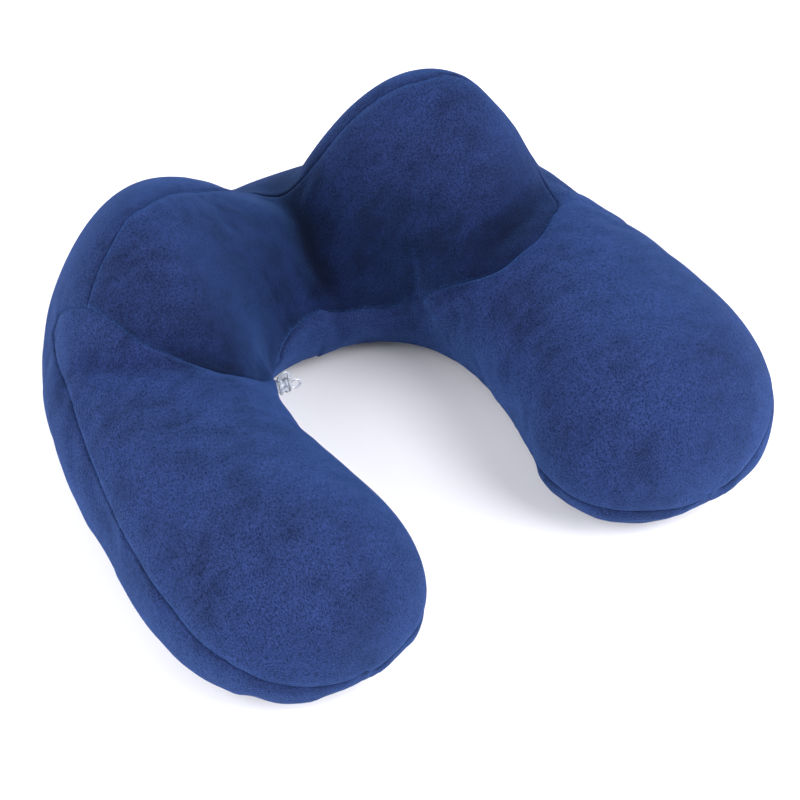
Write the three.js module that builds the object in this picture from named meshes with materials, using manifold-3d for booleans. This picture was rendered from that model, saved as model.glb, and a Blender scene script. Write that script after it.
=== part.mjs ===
// An inflatable U-shaped neck pillow: a sewn velour cover that a zip underneath opens, the welded
// PVC bladder inside it, and the inflation valve that comes out through the cover at the neck.
// Millimetres, +Z up. The opening of the U faces -Y. The origin is on the floor, under the middle.
import * as THREE from 'three';
import { mergeVertices } from 'three/addons/utils/BufferGeometryUtils.js';
import Module from 'manifold-3d';

const wasm = await Module();
wasm.setup();

// ---- driving dimensions -------------------------------------------------------------------------

// Plan of the right-hand half: control points of the inner (neck) edge and of the outer (rim) edge.
const NECK_PLAN = [[0, 47], [83, 47], [67, -50], [29, -182]];
const RIM_PLAN = [[0, 184], [198, 184], [205, -20], [184, -186]];

// Height of the body at the back and along the arms, reached at this share of the half length.
const BACK_HEIGHT = 75;
const ARM_HEIGHT = 109;
const ARM_SHARE = 0.45;

// Widest level of a section, as a share of its height, at the back and at the tips.
const WIDE_LEVEL_BACK = 0.48;
const WIDE_LEVEL_TIP = 0.38;

// How square a section is above and below its widest level, and how round the tips are.
const TOP_POWER = 2.1;
const BOTTOM_POWER = 2.4;
const TIP_SHARE = 0.21;
const TIP_POWER = 2.2;

// The two raised lobes behind the neck: where they stand, and their size in plan and height.
const LOBE_X = 80;
const LOBE_Y = 79;
const LOBE_TURN = -46;
const LOBE_HALF_LENGTH = 80;
const LOBE_HALF_WIDTH = 73;
const LOBE_RISE = 64;
const LOBE_POWER = 1.6;
const LOBE_LEAN = 0.17;
const LOBE_SPREAD = 0.55;

// The soft underside is pressed flat where it rests.
const FLOOR_SQUASH = 2;

// Seams, each point as [share of the half length, angle round the section]. An angle of 0 is the
// outer side, 90 the top and 180 the neck side.
const CREST_SEAM = [[0, 88], [0.28, 92], [0.38, 76], [0.44, 60]];
const LOBE_FRONT_SEAM = [[0, 160], [0.2, 177], [0.43, 146], [0.555, 105], [0.44, 60]];
const BAND_SEAM = [[0.44, 60], [0.56, 33], [0.8, 24], [0.98, 4]];
const BOTTOM_SEAM_ANGLE = 36;

// Cloth and film, drawn thicker than the real sheets so that each is a sound solid.
const CLOTH = 1.6;
const FILM = 1.2;
const BLADDER_DEPTH = 8;
const SEAM_GAP = 0.4;
const GAP = 0.3;

// Zip under the back, in a flat fly that is raised off the floor.
const ZIP_Y = 122;
const ZIP_LENGTH = 140;
const SLOT_WIDTH = 10.4;
const FLY_LEVEL = 4.6;
const FLY_HALF_LENGTH = 93;
const FLY_HALF_WIDTH = 19;
const FLY_FADE = 12;
const TAPE_LEVEL = 6.8;
const TOOTH_PITCH = 4;
const SLIDER_LENGTH = 9;

// Valve in the neck side of the left arm, near the back.
const VALVE_SPOT = [-0.38, 171];
const STEM_RADIUS = 3.7;
const BORE_RADIUS = 2.6;
const STEM_PROUD = 7;
const FLANGE_RADIUS = 9;

// ---- shape of the pillow ------------------------------------------------------------------------

function planCurve(points) {
  return new THREE.CubicBezierCurve(...points.map(([x, y]) => new THREE.Vector2(x, y)));
}

function seamCurve(points) {
  const knots = points.map(([share, angle]) => new THREE.Vector2(share, angle));
  return new THREE.SplineCurve(knots);
}

const neckPlan = planCurve(NECK_PLAN);
const rimPlan = planCurve(RIM_PLAN);
const { smoothstep, clamp, lerp, degToRad } = THREE.MathUtils;

function signedPower(value, power) {
  return Math.sign(value) * Math.abs(value) ** power;
}

/** How far the section has closed towards the tip: 1 along the arm and 0 at the very end. */
function tipFactor(along) {
  const rest = 1 - clamp((1 - along) / TIP_SHARE, 0, 1);
  return (1 - rest ** TIP_POWER) ** (1 / TIP_POWER);
}

/** The place along the half length where the tip factor has this value. */
function tipStation(factor) {
  const rest = (1 - factor ** TIP_POWER) ** (1 / TIP_POWER);
  return 1 - TIP_SHARE * (1 - rest);
}

/** Height that the two lobes add over a point of the plan. */
function lobeRise(x, y) {
  const turn = degToRad(LOBE_TURN);
  let sum = 0;
  for (const side of [-1, 1]) {
    const dx = side * x - LOBE_X;
    const dy = y - LOBE_Y;
    const long = (dx * Math.cos(turn) + dy * Math.sin(turn)) / LOBE_HALF_LENGTH;
    const wide = (dy * Math.cos(turn) - dx * Math.sin(turn)) / LOBE_HALF_WIDTH;
    const rise = LOBE_RISE * Math.max(1 - Math.hypot(long, wide) ** LOBE_POWER, 0);
    sum += rise ** 3;
  }
  return Math.cbrt(sum);
}

/** 1 over the flat fly of the zip, fading to 0 round it. */
function flyMask(x, y) {
  const lengthways = 1 - smoothstep(Math.abs(x), FLY_HALF_LENGTH, FLY_HALF_LENGTH + FLY_FADE);
  const sideways = 1 - smoothstep(Math.abs(y - ZIP_Y), FLY_HALF_WIDTH, FLY_HALF_WIDTH + FLY_FADE);
  return lengthways * sideways;
}

/** A point of the outer skin. The share runs from -1 (left tip) through 0 (back) to 1 (right tip). */
function skinPoint(share, angle) {
  const along = Math.abs(share);
  const neck = neckPlan.getPoint(along);
  const rim = rimPlan.getPoint(along);
  const spot = neck.clone().add(rim).multiplyScalar(0.5);
  const half = rim.sub(neck).multiplyScalar(0.5);
  const height = lerp(BACK_HEIGHT, ARM_HEIGHT, smoothstep(along, 0, ARM_SHARE));
  const level = height * lerp(WIDE_LEVEL_BACK, WIDE_LEVEL_TIP, smoothstep(along, ARM_SHARE, 1));
  const outward = Math.cos(degToRad(angle));
  const upward = Math.sin(degToRad(angle));
  const power = 2 / (upward > 0 ? TOP_POWER : BOTTOM_POWER);
  const room = (upward > 0 ? height - level : level) * tipFactor(along);
  let z = level + room * signedPower(upward, power);
  spot.addScaledVector(half, tipFactor(along) * signedPower(outward, power));
  if (upward > 0) {
    const rise = lobeRise(spot.x, spot.y) * upward ** LOBE_SPREAD;
    z += rise;
    spot.addScaledVector(half.normalize(), LOBE_LEAN * rise);
  }
  z = Math.max(z - FLOOR_SQUASH, 0);
  if (upward < 0) {
    z = lerp(z, Math.max(z, FLY_LEVEL), flyMask(spot.x, spot.y));
  }
  return new THREE.Vector3(share < 0 ? -spot.x : spot.x, spot.y, z);
}

/** Outward direction of the skin, from its slope along the U and round the section. */
function skinNormal(share, angle) {
  const step = 0.002;
  const turn = 0.5;
  const back = Math.max(share - step, step - 1);
  const ahead = Math.min(share + step, 1 - step);
  const lengthways = skinPoint(ahead, angle).sub(skinPoint(back, angle));
  const round = skinPoint(share, angle + turn).sub(skinPoint(share, angle - turn));
  return round.cross(lengthways).normalize();
}

/** The skin moved inward by a depth. At a tip the angle no longer matters. */
function depthPoint(share, angle, depth) {
  if (Math.abs(share) === 1) {
    const nearEnd = 0.98 * share;
    const end = skinPoint(share, 0);
    const before = skinPoint(nearEnd, 0).add(skinPoint(nearEnd, 180)).multiplyScalar(0.5);
    const heading = end.clone().sub(before).setZ(0).normalize();
    return end.addScaledVector(heading, -depth);
  }
  return skinPoint(share, angle).addScaledVector(skinNormal(share, angle), -depth);
}

// ---- closed shells over parts of the skin ---------------------------------------------------------

function closedGeometry(positions, triangles) {
  let geometry = new THREE.BufferGeometry();
  geometry.setAttribute('position', new THREE.Float32BufferAttribute(positions, 3));
  geometry.setIndex(triangles);
  geometry = mergeVertices(geometry, 1e-3);
  const index = geometry.getIndex().array;
  const kept = [];
  for (let i = 0; i < index.length; i += 3) {
    const [a, b, c] = index.slice(i, i + 3);
    if (a !== b && b !== c && c !== a) {
      kept.push(a, b, c);
    }
  }
  geometry.setIndex(kept);
  return geometry;
}

/**
 * A solid sheet between two depths under a grid of spots. Each spot is [share, angle]. A ring is a
 * grid whose rows run the whole way round, so it has no side walls.
 */
function sheet(spots, outerDepth, innerDepth, ring = false) {
  const rows = spots.length;
  const columns = spots[0].length;
  const positions = [];
  for (const depth of [outerDepth, innerDepth]) {
    for (const row of spots) {
      for (const [share, angle] of row) {
        positions.push(...depthPoint(share, angle, depth).toArray());
      }
    }
  }
  const triangles = [];
  const outer = (i, j) => i * columns + (ring ? j % (columns - 1) : j);
  const inner = (i, j) => rows * columns + outer(i, j);
  const quad = (a, b, c, d) => triangles.push(a, b, c, a, c, d);
  for (let i = 0; i < rows - 1; i++) {
    for (let j = 0; j < columns - 1; j++) {
      quad(outer(i, j), outer(i, j + 1), outer(i + 1, j + 1), outer(i + 1, j));
      quad(inner(i, j), inner(i + 1, j), inner(i + 1, j + 1), inner(i, j + 1));
    }
    if (!ring) {
      const last = columns - 1;
      quad(outer(i, 0), outer(i + 1, 0), inner(i + 1, 0), inner(i, 0));
      quad(outer(i, last), inner(i, last), inner(i + 1, last), outer(i + 1, last));
    }
  }
  for (let j = 0; j < columns - 1; j++) {
    const last = rows - 1;
    quad(outer(0, j), inner(0, j), inner(0, j + 1), outer(0, j + 1));
    quad(outer(last, j), outer(last, j + 1), inner(last, j + 1), inner(last, j));
  }
  return closedGeometry(positions, triangles);
}

// ---- joins and cuts -------------------------------------------------------------------------------

function solidOf(geometry) {
  let bare = geometry.clone();
  bare.deleteAttribute('normal');
  bare.deleteAttribute('uv');
  bare = mergeVertices(bare, 1e-4);
  const vertProperties = new Float32Array(bare.getAttribute('position').array);
  const triVerts = new Uint32Array(bare.getIndex().array);
  return new wasm.Manifold(new wasm.Mesh({ numProp: 3, vertProperties, triVerts }));
}

function geometryOf(solid) {
  const result = solid.getMesh();
  const geometry = new THREE.BufferGeometry();
  geometry.setAttribute('position', new THREE.BufferAttribute(result.vertProperties, 3));
  geometry.setIndex(Array.from(result.triVerts));
  return geometry;
}

function join(...geometries) {
  const solids = geometries.map(solidOf);
  return geometryOf(solids.reduce((whole, piece) => whole.add(piece)));
}

const SMALLEST_EDGE = 0.02;

/** What is left of a piece after the cuts, without the loose crumbs that a cut can leave. */
function cut(geometry, ...tools) {
  const solids = tools.map(solidOf);
  const rest = solids.reduce((piece, tool) => piece.subtract(tool), solidOf(geometry));
  const bodies = rest.decompose().sort((a, b) => b.volume() - a.volume());
  return geometryOf(bodies[0].simplify(SMALLEST_EDGE));
}

// ---- rows and columns of the sheets ---------------------------------------------------------------

const BODY_STEPS = 13;
const TIP_STEPS = 6;
const CAP_COLUMNS = 24;
const PANEL_END_FACTOR = 0.2;
const CAP_START_FACTOR = 0.185;
const CAP_LAP_FACTOR = 0.14;

/** Stations from tip to tip, closer together where the tips curve. */
function stations() {
  const half = [];
  for (let i = 0; i < BODY_STEPS; i++) {
    half.push((1 - TIP_SHARE) * i / BODY_STEPS);
  }
  for (let i = 0; i <= TIP_STEPS; i++) {
    half.push(tipStation(Math.cos(Math.acos(PANEL_END_FACTOR) * i / TIP_STEPS)));
  }
  return [...half.slice(1).reverse().map((share) => -share), ...half];
}

/** Spots from one spot to another, kept a seam gap away from both. */
function spotsBetween(from, to, columns, gap = SEAM_GAP) {
  const mix = (t) => [lerp(from[0], to[0], t), lerp(from[1], to[1], t)];
  const middle = skinPoint(...mix(0.5));
  const width = skinPoint(...from).distanceTo(middle) + skinPoint(...to).distanceTo(middle);
  const margin = gap / width;
  const spots = [];
  for (let j = 0; j <= columns; j++) {
    spots.push(mix(lerp(margin, 1 - margin, j / columns)));
  }
  return spots;
}

function angleAlong(seam, along) {
  const next = seam.findIndex(([share]) => share > along);
  if (next < 0) {
    return seam.at(-1)[1];
  }
  const [share0, angle0] = seam[Math.max(next - 1, 0)];
  const [share1, angle1] = seam[next];
  return lerp(angle0, angle1, clamp((along - share0) / (share1 - share0), 0, 1));
}

/** The seam on top of the outer band: the crest of the lobes behind, the band's own seam along the arms. */
function bandTopAngle(share) {
  const along = Math.abs(share);
  return angleAlong(along < CREST_SEAM.at(-1)[0] ? CREST_SEAM : BAND_SEAM, along);
}

const lobeFrontCurve = seamCurve(LOBE_FRONT_SEAM);
const LOBE_REACH = 0.96;
const LOBE_STEPS = 14;
const LOBE_COLUMNS = 6;

/** One row of the lobe front, from the crest (carried past it by a lap angle) to the lower seam. */
function lobeRow(row, columns, gap, lap) {
  const side = row < 0 ? -1 : 1;
  const front = lobeFrontCurve.getPoint(Math.abs(row));
  const crestShare = CREST_SEAM.at(-1)[0] * row;
  const crest = [crestShare, bandTopAngle(crestShare) - lap * (1 - Math.abs(row))];
  return spotsBetween(crest, [side * front.x, front.y], columns, gap);
}

/** Rows of the lobe front from its left corner (-1) to its right corner (1). */
function lobeRows(gap, lap = 0) {
  const rows = [];
  for (let i = -LOBE_STEPS; i <= LOBE_STEPS; i++) {
    rows.push(lobeRow(LOBE_REACH * i / LOBE_STEPS, LOBE_COLUMNS, gap, lap));
  }
  return rows;
}

/** Rows that run from tip to tip between two seams. */
function bandRows(shares, fromAngle, toAngle, columns) {
  return shares.map((share) => spotsBetween([share, fromAngle(share)], [share, toAngle(share)], columns));
}

/** The underside's rows, with columns that lie evenly across its width. */
function undersideRows(shares, seamAngle, columns) {
  const edge = Math.cos(degToRad(seamAngle)) ** (2 / BOTTOM_POWER);
  return shares.map((share) => {
    const ends = spotsBetween([share, 180 + seamAngle], [share, 360 - seamAngle], 2);
    const spots = [ends[0]];
    for (let j = 1; j < columns; j++) {
      const outward = signedPower(lerp(-edge, edge, j / columns), BOTTOM_POWER / 2);
      spots.push([share, 360 - THREE.MathUtils.radToDeg(Math.acos(outward))]);
    }
    spots.push(ends[2]);
    return spots;
  });
}

/** The round end of a sheet that closes over one tip of the U. */
function tipCap(side, outerDepth, innerDepth) {
  const shares = [tipStation(CAP_START_FACTOR), tipStation(CAP_START_FACTOR / 2), 1];
  const rows = shares.map((along) => {
    const row = [];
    for (let j = 0; j <= CAP_COLUMNS; j++) {
      row.push([side * along, 360 * j / CAP_COLUMNS]);
    }
    return row;
  });
  return sheet(side > 0 ? rows : rows.reverse(), outerDepth, innerDepth, true);
}

/** Stations with one more beyond each end, so that a sheet laps under its tip caps. */
function lapped(shares) {
  const end = tipStation(CAP_LAP_FACTOR);
  return [-end, ...shares, end];
}

// ---- materials ------------------------------------------------------------------------------------

function material(color, roughness, metalness = 0) {
  return new THREE.MeshStandardMaterial({ color, roughness, metalness });
}

const velour = () => material(0x2c427e, 0.95);
const zipNavy = (roughness) => material(0x1c2c58, roughness);
const metal = () => material(0x8a8d92, 0.35, 0.9);
const clearFilm = () => material(0xc9d4de, 0.25);
const clearValve = () => material(0xdfe5ea, 0.2);

const pillow = new THREE.Group();
pillow.name = 'u_shaped_neck_pillow';

function addPiece(parent, name, geometry, look) {
  const piece = new THREE.Mesh(geometry, look);
  piece.name = name;
  parent.add(piece);
  return piece;
}

// ---- cover: four sewn panels ------------------------------------------------------------------------

const shares = stations();
const BAND_COLUMNS = 4;
const TOP_COLUMNS = 11;
const BOTTOM_COLUMNS = 12;
const TOOL_REACH = 13;
const CREST_LAP = 30;

/** Tools that cut the lobe front's outline out of a sheet that crosses it, with true edges in the sheet. */
function lobeFrontTools(outerDepth, innerDepth) {
  const corners = [-0.999, 0.999].map((row) => lobeRow(row, LOBE_COLUMNS, 0, CREST_LAP));
  const rows = [corners[0], ...lobeRows(0, CREST_LAP), corners[1]];
  return [
    sheet(rows, outerDepth - TOOL_REACH, outerDepth + GAP),
    sheet(rows, outerDepth, innerDepth),
    sheet(rows, innerDepth - GAP, innerDepth + TOOL_REACH),
  ];
}

function coverBottomPanel() {
  const panel = sheet(undersideRows(shares, BOTTOM_SEAM_ANGLE, BOTTOM_COLUMNS), 0, CLOTH);
  const slot = new THREE.BoxGeometry(ZIP_LENGTH, SLOT_WIDTH, 4 * CLOTH);
  slot.translate(0, ZIP_Y, FLY_LEVEL);
  return cut(panel, slot);
}

function coverOuterBand() {
  return sheet(bandRows(shares, () => -BOTTOM_SEAM_ANGLE, bandTopAngle, BAND_COLUMNS), 0, CLOTH);
}

function coverLobeFront() {
  return sheet(lobeRows(2 * SEAM_GAP), 0, CLOTH);
}

function coverTopPanel() {
  const toNeck = () => 180 + BOTTOM_SEAM_ANGLE;
  const open = sheet(bandRows(lapped(shares), bandTopAngle, toNeck, TOP_COLUMNS), 0, CLOTH);
  const whole = join(open, tipCap(-1, 0, CLOTH), tipCap(1, 0, CLOTH));
  return cut(whole, ...lobeFrontTools(0, CLOTH), valveHole());
}

// ---- bladder: four welded skins ----------------------------------------------------------------------

const BLADDER_INNER = BLADDER_DEPTH + FILM;
const BLADDER_LOBE_SHARE = 0.55;
const SKIN_GAP_SHARE = 0.002;
const WELD_ANGLE = 1;
const UPPER_SKIN_COLUMNS = 12;
const LOWER_SKIN_COLUMNS = 8;

function bladderUpperRows(rowShares) {
  return bandRows(rowShares, () => WELD_ANGLE, () => 180 - WELD_ANGLE, UPPER_SKIN_COLUMNS);
}

function bladderBottomSkin() {
  return sheet(undersideRows(shares, WELD_ANGLE, LOWER_SKIN_COLUMNS), BLADDER_DEPTH, BLADDER_INNER);
}

/** The skin over the back and its lobes, between the two arm skins. */
function bladderLobeSkin() {
  const between = shares.filter((share) => Math.abs(share) < BLADDER_LOBE_SHARE);
  const rows = bladderUpperRows([-BLADDER_LOBE_SHARE, ...between, BLADDER_LOBE_SHARE]);
  return cut(sheet(rows, BLADDER_DEPTH, BLADDER_INNER), valveHole());
}

/** The skin over one arm, closed over the tip. */
function bladderArmSkin(side) {
  const start = BLADDER_LOBE_SHARE + SKIN_GAP_SHARE;
  const beyond = lapped(shares).filter((share) => side * share > start);
  const rows = bladderUpperRows(side > 0 ? [start, ...beyond] : [...beyond, -start]);
  const open = sheet(rows, BLADDER_DEPTH, BLADDER_INNER);
  return join(open, tipCap(side, BLADDER_DEPTH, BLADDER_INNER));
}

// ---- valve ------------------------------------------------------------------------------------------

/** A group on the neck side of the left arm: its +Y points straight out of the wall, its +Z is up. */
function valveFrame() {
  const frame = new THREE.Group();
  const outward = skinNormal(...VALVE_SPOT).setZ(0).normalize();
  frame.position.copy(skinPoint(...VALVE_SPOT));
  frame.quaternion.setFromUnitVectors(new THREE.Vector3(0, 1, 0), outward);
  frame.updateMatrix();
  return frame;
}

const valve = valveFrame();
const HOLE_REACH = 24;

/** A cylinder that clears the stem where it passes through the cover and the bladder. */
function valveHole() {
  const radius = STEM_RADIUS + SEAM_GAP;
  const tool = new THREE.CylinderGeometry(radius, radius, HOLE_REACH, 20);
  return tool.applyMatrix4(valve.matrix);
}

const FLANGE_THICKNESS = 1.2;
const FLANGE_Y = -(BLADDER_INNER + 3.5);
const STEM_INNER_END = FLANGE_Y - FLANGE_THICKNESS - 1.6;
const LIP_RADIUS = 5;
const FLAP_RADIUS = 4.2;
const FLAP_THICKNESS = 0.7;
const KNOB_RADIUS = 4.1;
const KNOB_THICKNESS = 1.6;
const SPIGOT_LENGTH = 5;
const FINGER_RING_RADIUS = 2.6;
const FINGER_RING_WIRE = 0.8;
const LOOP_LEVEL = 2.6;
const LOOP_THICKNESS = 1.4;
const LOOP_WIDTH = 1.3;
const STRAP_THICKNESS = 0.9;
const STRAP_WIDTH = 2;

/** A turned piece round +Y. The outline is [radius, height] pairs that close on themselves. */
function turned(outline, segments = 24) {
  const points = [...outline, outline[0]].map(([radius, height]) => new THREE.Vector2(radius, height));
  return new THREE.LatheGeometry(points, segments);
}

function ringOutline(inner, outer, low, high) {
  return [[inner, low], [outer, low], [outer, high], [inner, high]];
}

function rectangle(width, height) {
  const shape = new THREE.Shape();
  shape.moveTo(-width / 2, -height / 2);
  shape.lineTo(width / 2, -height / 2);
  shape.lineTo(width / 2, height / 2);
  shape.lineTo(-width / 2, height / 2);
  shape.closePath();
  return shape;
}

function valveStem() {
  return turned([
    [BORE_RADIUS, STEM_INNER_END],
    [LIP_RADIUS, STEM_INNER_END],
    [LIP_RADIUS, FLANGE_Y - FLANGE_THICKNESS - GAP],
    [STEM_RADIUS, FLANGE_Y - FLANGE_THICKNESS - GAP],
    [STEM_RADIUS, STEM_PROUD],
    [BORE_RADIUS, STEM_PROUD],
  ]);
}

function valveFlange() {
  return turned(ringOutline(STEM_RADIUS + GAP, FLANGE_RADIUS, FLANGE_Y - FLANGE_THICKNESS, FLANGE_Y));
}

/** The non-return flap, a disc over the inner end of the stem with its hinge edge at the top. */
function valveFlap() {
  const flap = new THREE.CylinderGeometry(FLAP_RADIUS, FLAP_RADIUS, FLAP_THICKNESS, 20);
  return flap.translate(0, STEM_INNER_END - GAP - FLAP_THICKNESS / 2, 0);
}

/** The stopper: a spigot in the bore, a knob over the end of the stem and a finger ring on the knob. */
function valvePlug() {
  const knobFace = STEM_PROUD + GAP;
  const knobTop = knobFace + KNOB_THICKNESS;
  const body = new THREE.LatheGeometry([
    [0, knobFace - SPIGOT_LENGTH],
    [BORE_RADIUS - GAP, knobFace - SPIGOT_LENGTH],
    [BORE_RADIUS - GAP, knobFace],
    [KNOB_RADIUS, knobFace],
    [KNOB_RADIUS, knobTop],
    [0, knobTop],
  ].map(([radius, height]) => new THREE.Vector2(radius, height)), 24);
  const ring = new THREE.TorusGeometry(FINGER_RING_RADIUS, FINGER_RING_WIRE, 8, 20);
  ring.rotateY(Math.PI / 2);
  ring.translate(0, knobTop + FINGER_RING_RADIUS + GAP, 0);
  return join(body, ring);
}

/** The strap that keeps the stopper: a loop round the stem and a tongue that curves up to the knob. */
function valveTether() {
  const loopInner = STEM_RADIUS + GAP;
  const loopOuter = loopInner + LOOP_WIDTH;
  const loop = turned(ringOutline(loopInner, loopOuter, LOOP_LEVEL, LOOP_LEVEL + LOOP_THICKNESS));
  const bend = [
    [3.3, loopOuter - LOOP_WIDTH / 2],
    [3.6, loopOuter + 2.6],
    [6, loopOuter + 4.2],
    [8.4, loopOuter + 2.4],
    [8.6, KNOB_RADIUS + 2 * GAP],
  ];
  const tongue = new THREE.CatmullRomCurve3(bend.map(([outward, up]) => new THREE.Vector3(0, outward, up)));
  const section = rectangle(STRAP_THICKNESS, STRAP_WIDTH);
  const strap = new THREE.ExtrudeGeometry(section, { extrudePath: tongue, steps: 14 });
  return join(loop, strap);
}

// ---- zip ----------------------------------------------------------------------------------------------

const TAPE_THICKNESS = 0.6;
const TAPE_INNER_EDGE = 2.3;
const TAPE_WIDTH = 7;
const TAPE_TAIL = 8;
const TOOTH_HEIGHT = 2;
const TOOTH_VALLEY = 1.4;
const TEETH_HALF_LENGTH = 66;
const POST_HALF_WIDTH = 0.35;
const SLIDER_REST = -61;
const SLIDER_PLATE = 1.2;
const BRIDGE_DROP = 1.8;
const BRIDGE_THICKNESS = 0.8;
const BRIDGE_HALF_WIDTH = 0.8;
const BRIDGE_INSET = 0.7;
const SLIDER_HALF_WIDTH = 4;
const POST_HALF_LENGTH = 2.5;
const WELD_LAP = 0.2;
const STOP_HALF_LENGTH = 1.1;
const STOP_INNER = 0.4;
const STOP_OUTER = 2;
const STOP_X = TEETH_HALF_LENGTH + 1.6;
const PULL_THICKNESS = 0.8;
const PULL_LENGTH = 19;
const PULL_TAB_START = 8;
const PULL_TAB_HALF_WIDTH = 3.2;
const PULL_FRAME_END = 5;
const PULL_FRAME_HALF_WIDTH = 2.4;
const PULL_BAR_HALF = 0.4;
const EYE_HALF_WIDTH = 1.3;

const zip = new THREE.Group();
zip.position.set(0, ZIP_Y, 0);

function box(x0, x1, y0, y1, z0, z1) {
  const shape = new THREE.BoxGeometry(x1 - x0, y1 - y0, z1 - z0);
  return shape.translate((x0 + x1) / 2, (y0 + y1) / 2, (z0 + z1) / 2);
}

/** A box centred on the zip, between two levels. */
function plate(halfLength, halfWidth, z0, z1) {
  return box(-halfLength, halfLength, -halfWidth, halfWidth, z0, z1);
}

/** One woven tape, on the front (-1) or the rear (1) side of the opening. */
function zipTape(side) {
  const reach = ZIP_LENGTH / 2 + TAPE_TAIL;
  const edges = [side * TAPE_INNER_EDGE, side * (TAPE_INNER_EDGE + TAPE_WIDTH)];
  const [near, far] = edges.sort((a, b) => a - b);
  const half = TAPE_THICKNESS / 2;
  return box(-reach, reach, near, far, TAPE_LEVEL - half, TAPE_LEVEL + half);
}

/** One row of teeth: a rail along the tape's edge with a tooth on every pitch. */
function zipTeeth(side) {
  const root = TAPE_INNER_EDGE - GAP;
  const tip = POST_HALF_WIDTH + GAP;
  const count = Math.floor(2 * TEETH_HALF_LENGTH / TOOTH_PITCH);
  const outline = [[-TEETH_HALF_LENGTH, root]];
  for (let i = 0; i < count; i++) {
    const start = -TEETH_HALF_LENGTH + i * TOOTH_PITCH;
    outline.push([start, tip], [start + TOOTH_PITCH / 2, tip]);
    outline.push([start + TOOTH_PITCH / 2, TOOTH_VALLEY], [start + TOOTH_PITCH, TOOTH_VALLEY]);
  }
  outline.push([-TEETH_HALF_LENGTH + count * TOOTH_PITCH, root]);
  const shape = new THREE.Shape(outline.map(([x, y]) => new THREE.Vector2(x, side * y)));
  const teeth = new THREE.ExtrudeGeometry(shape, { depth: TOOTH_HEIGHT, bevelEnabled: false });
  return teeth.translate(0, 0, TAPE_LEVEL - TOOTH_HEIGHT / 2);
}

/** A metal stop clamped across the end of the teeth. */
function zipStop(x, y0, y1) {
  const half = TOOTH_HEIGHT / 2;
  return box(x - STOP_HALF_LENGTH, x + STOP_HALF_LENGTH, y0, y1, TAPE_LEVEL - half, TAPE_LEVEL + half);
}

/** The slider: two plates either side of the teeth, a post between the rows and a bridge for the pull. */
function zipSlider() {
  const half = SLIDER_LENGTH / 2;
  const lowerTop = TAPE_LEVEL - TOOTH_HEIGHT / 2 - GAP;
  const lowerFace = lowerTop - SLIDER_PLATE;
  const upperFace = TAPE_LEVEL + TOOTH_HEIGHT / 2 + GAP;
  const bridgeFoot = lowerFace - BRIDGE_DROP - BRIDGE_THICKNESS;
  const legOuter = half - BRIDGE_INSET;
  const legMiddle = legOuter - BRIDGE_THICKNESS / 2;
  const bridgeLeg = plate(BRIDGE_THICKNESS / 2, BRIDGE_HALF_WIDTH, bridgeFoot, lowerFace + WELD_LAP);
  return join(
    plate(half, SLIDER_HALF_WIDTH, lowerFace, lowerTop),
    plate(half, SLIDER_HALF_WIDTH, upperFace, upperFace + SLIDER_PLATE),
    plate(POST_HALF_LENGTH, POST_HALF_WIDTH, lowerTop - WELD_LAP, upperFace + WELD_LAP),
    bridgeLeg.clone().translate(-legMiddle, 0, 0),
    bridgeLeg.translate(legMiddle, 0, 0),
    plate(legOuter, BRIDGE_HALF_WIDTH, bridgeFoot, bridgeFoot + BRIDGE_THICKNESS),
  );
}

const PULL_LEVEL = TAPE_LEVEL - TOOTH_HEIGHT / 2 - GAP - SLIDER_PLATE - BRIDGE_DROP / 2;

/** The pull: a tab whose end frame hooks through the bridge. It lies along +X from its hinge bar. */
function zipPull() {
  const outline = new THREE.Shape();
  outline.moveTo(-PULL_BAR_HALF, -PULL_FRAME_HALF_WIDTH);
  outline.lineTo(PULL_FRAME_END, -PULL_FRAME_HALF_WIDTH);
  outline.lineTo(PULL_TAB_START, -PULL_TAB_HALF_WIDTH);
  outline.lineTo(PULL_LENGTH, -PULL_TAB_HALF_WIDTH);
  outline.absarc(PULL_LENGTH, 0, PULL_TAB_HALF_WIDTH, -Math.PI / 2, Math.PI / 2, false);
  outline.lineTo(PULL_TAB_START, PULL_TAB_HALF_WIDTH);
  outline.lineTo(PULL_FRAME_END, PULL_FRAME_HALF_WIDTH);
  outline.lineTo(-PULL_BAR_HALF, PULL_FRAME_HALF_WIDTH);
  outline.closePath();
  const eye = new THREE.Path();
  eye.moveTo(PULL_BAR_HALF, -EYE_HALF_WIDTH);
  eye.lineTo(PULL_BAR_HALF, EYE_HALF_WIDTH);
  eye.lineTo(PULL_FRAME_END, EYE_HALF_WIDTH);
  eye.lineTo(PULL_FRAME_END, -EYE_HALF_WIDTH);
  eye.closePath();
  outline.holes.push(eye);
  const depth = PULL_THICKNESS;
  const pull = new THREE.ExtrudeGeometry(outline, { depth, bevelEnabled: false, curveSegments: 8 });
  return pull.translate(0, 0, -depth / 2);
}

// ---- the whole pillow ---------------------------------------------------------------------------------

addPiece(pillow, 'cover_bottom_panel', coverBottomPanel(), velour());
addPiece(pillow, 'cover_outer_band', coverOuterBand(), velour());
addPiece(pillow, 'cover_lobe_front_panel', coverLobeFront(), velour());
addPiece(pillow, 'cover_top_panel', coverTopPanel(), velour());

addPiece(pillow, 'bladder_bottom_skin', bladderBottomSkin(), clearFilm());
addPiece(pillow, 'bladder_lobe_skin', bladderLobeSkin(), clearFilm());
addPiece(pillow, 'bladder_arm_skin_left', bladderArmSkin(-1), clearFilm());
addPiece(pillow, 'bladder_arm_skin_right', bladderArmSkin(1), clearFilm());

pillow.add(valve);
addPiece(valve, 'valve_stem', valveStem(), clearValve());
addPiece(valve, 'valve_flange', valveFlange(), clearValve());
addPiece(valve, 'valve_flap', valveFlap(), clearValve());
addPiece(valve, 'valve_plug', valvePlug(), clearValve());
addPiece(valve, 'valve_tether', valveTether(), clearValve());

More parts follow.
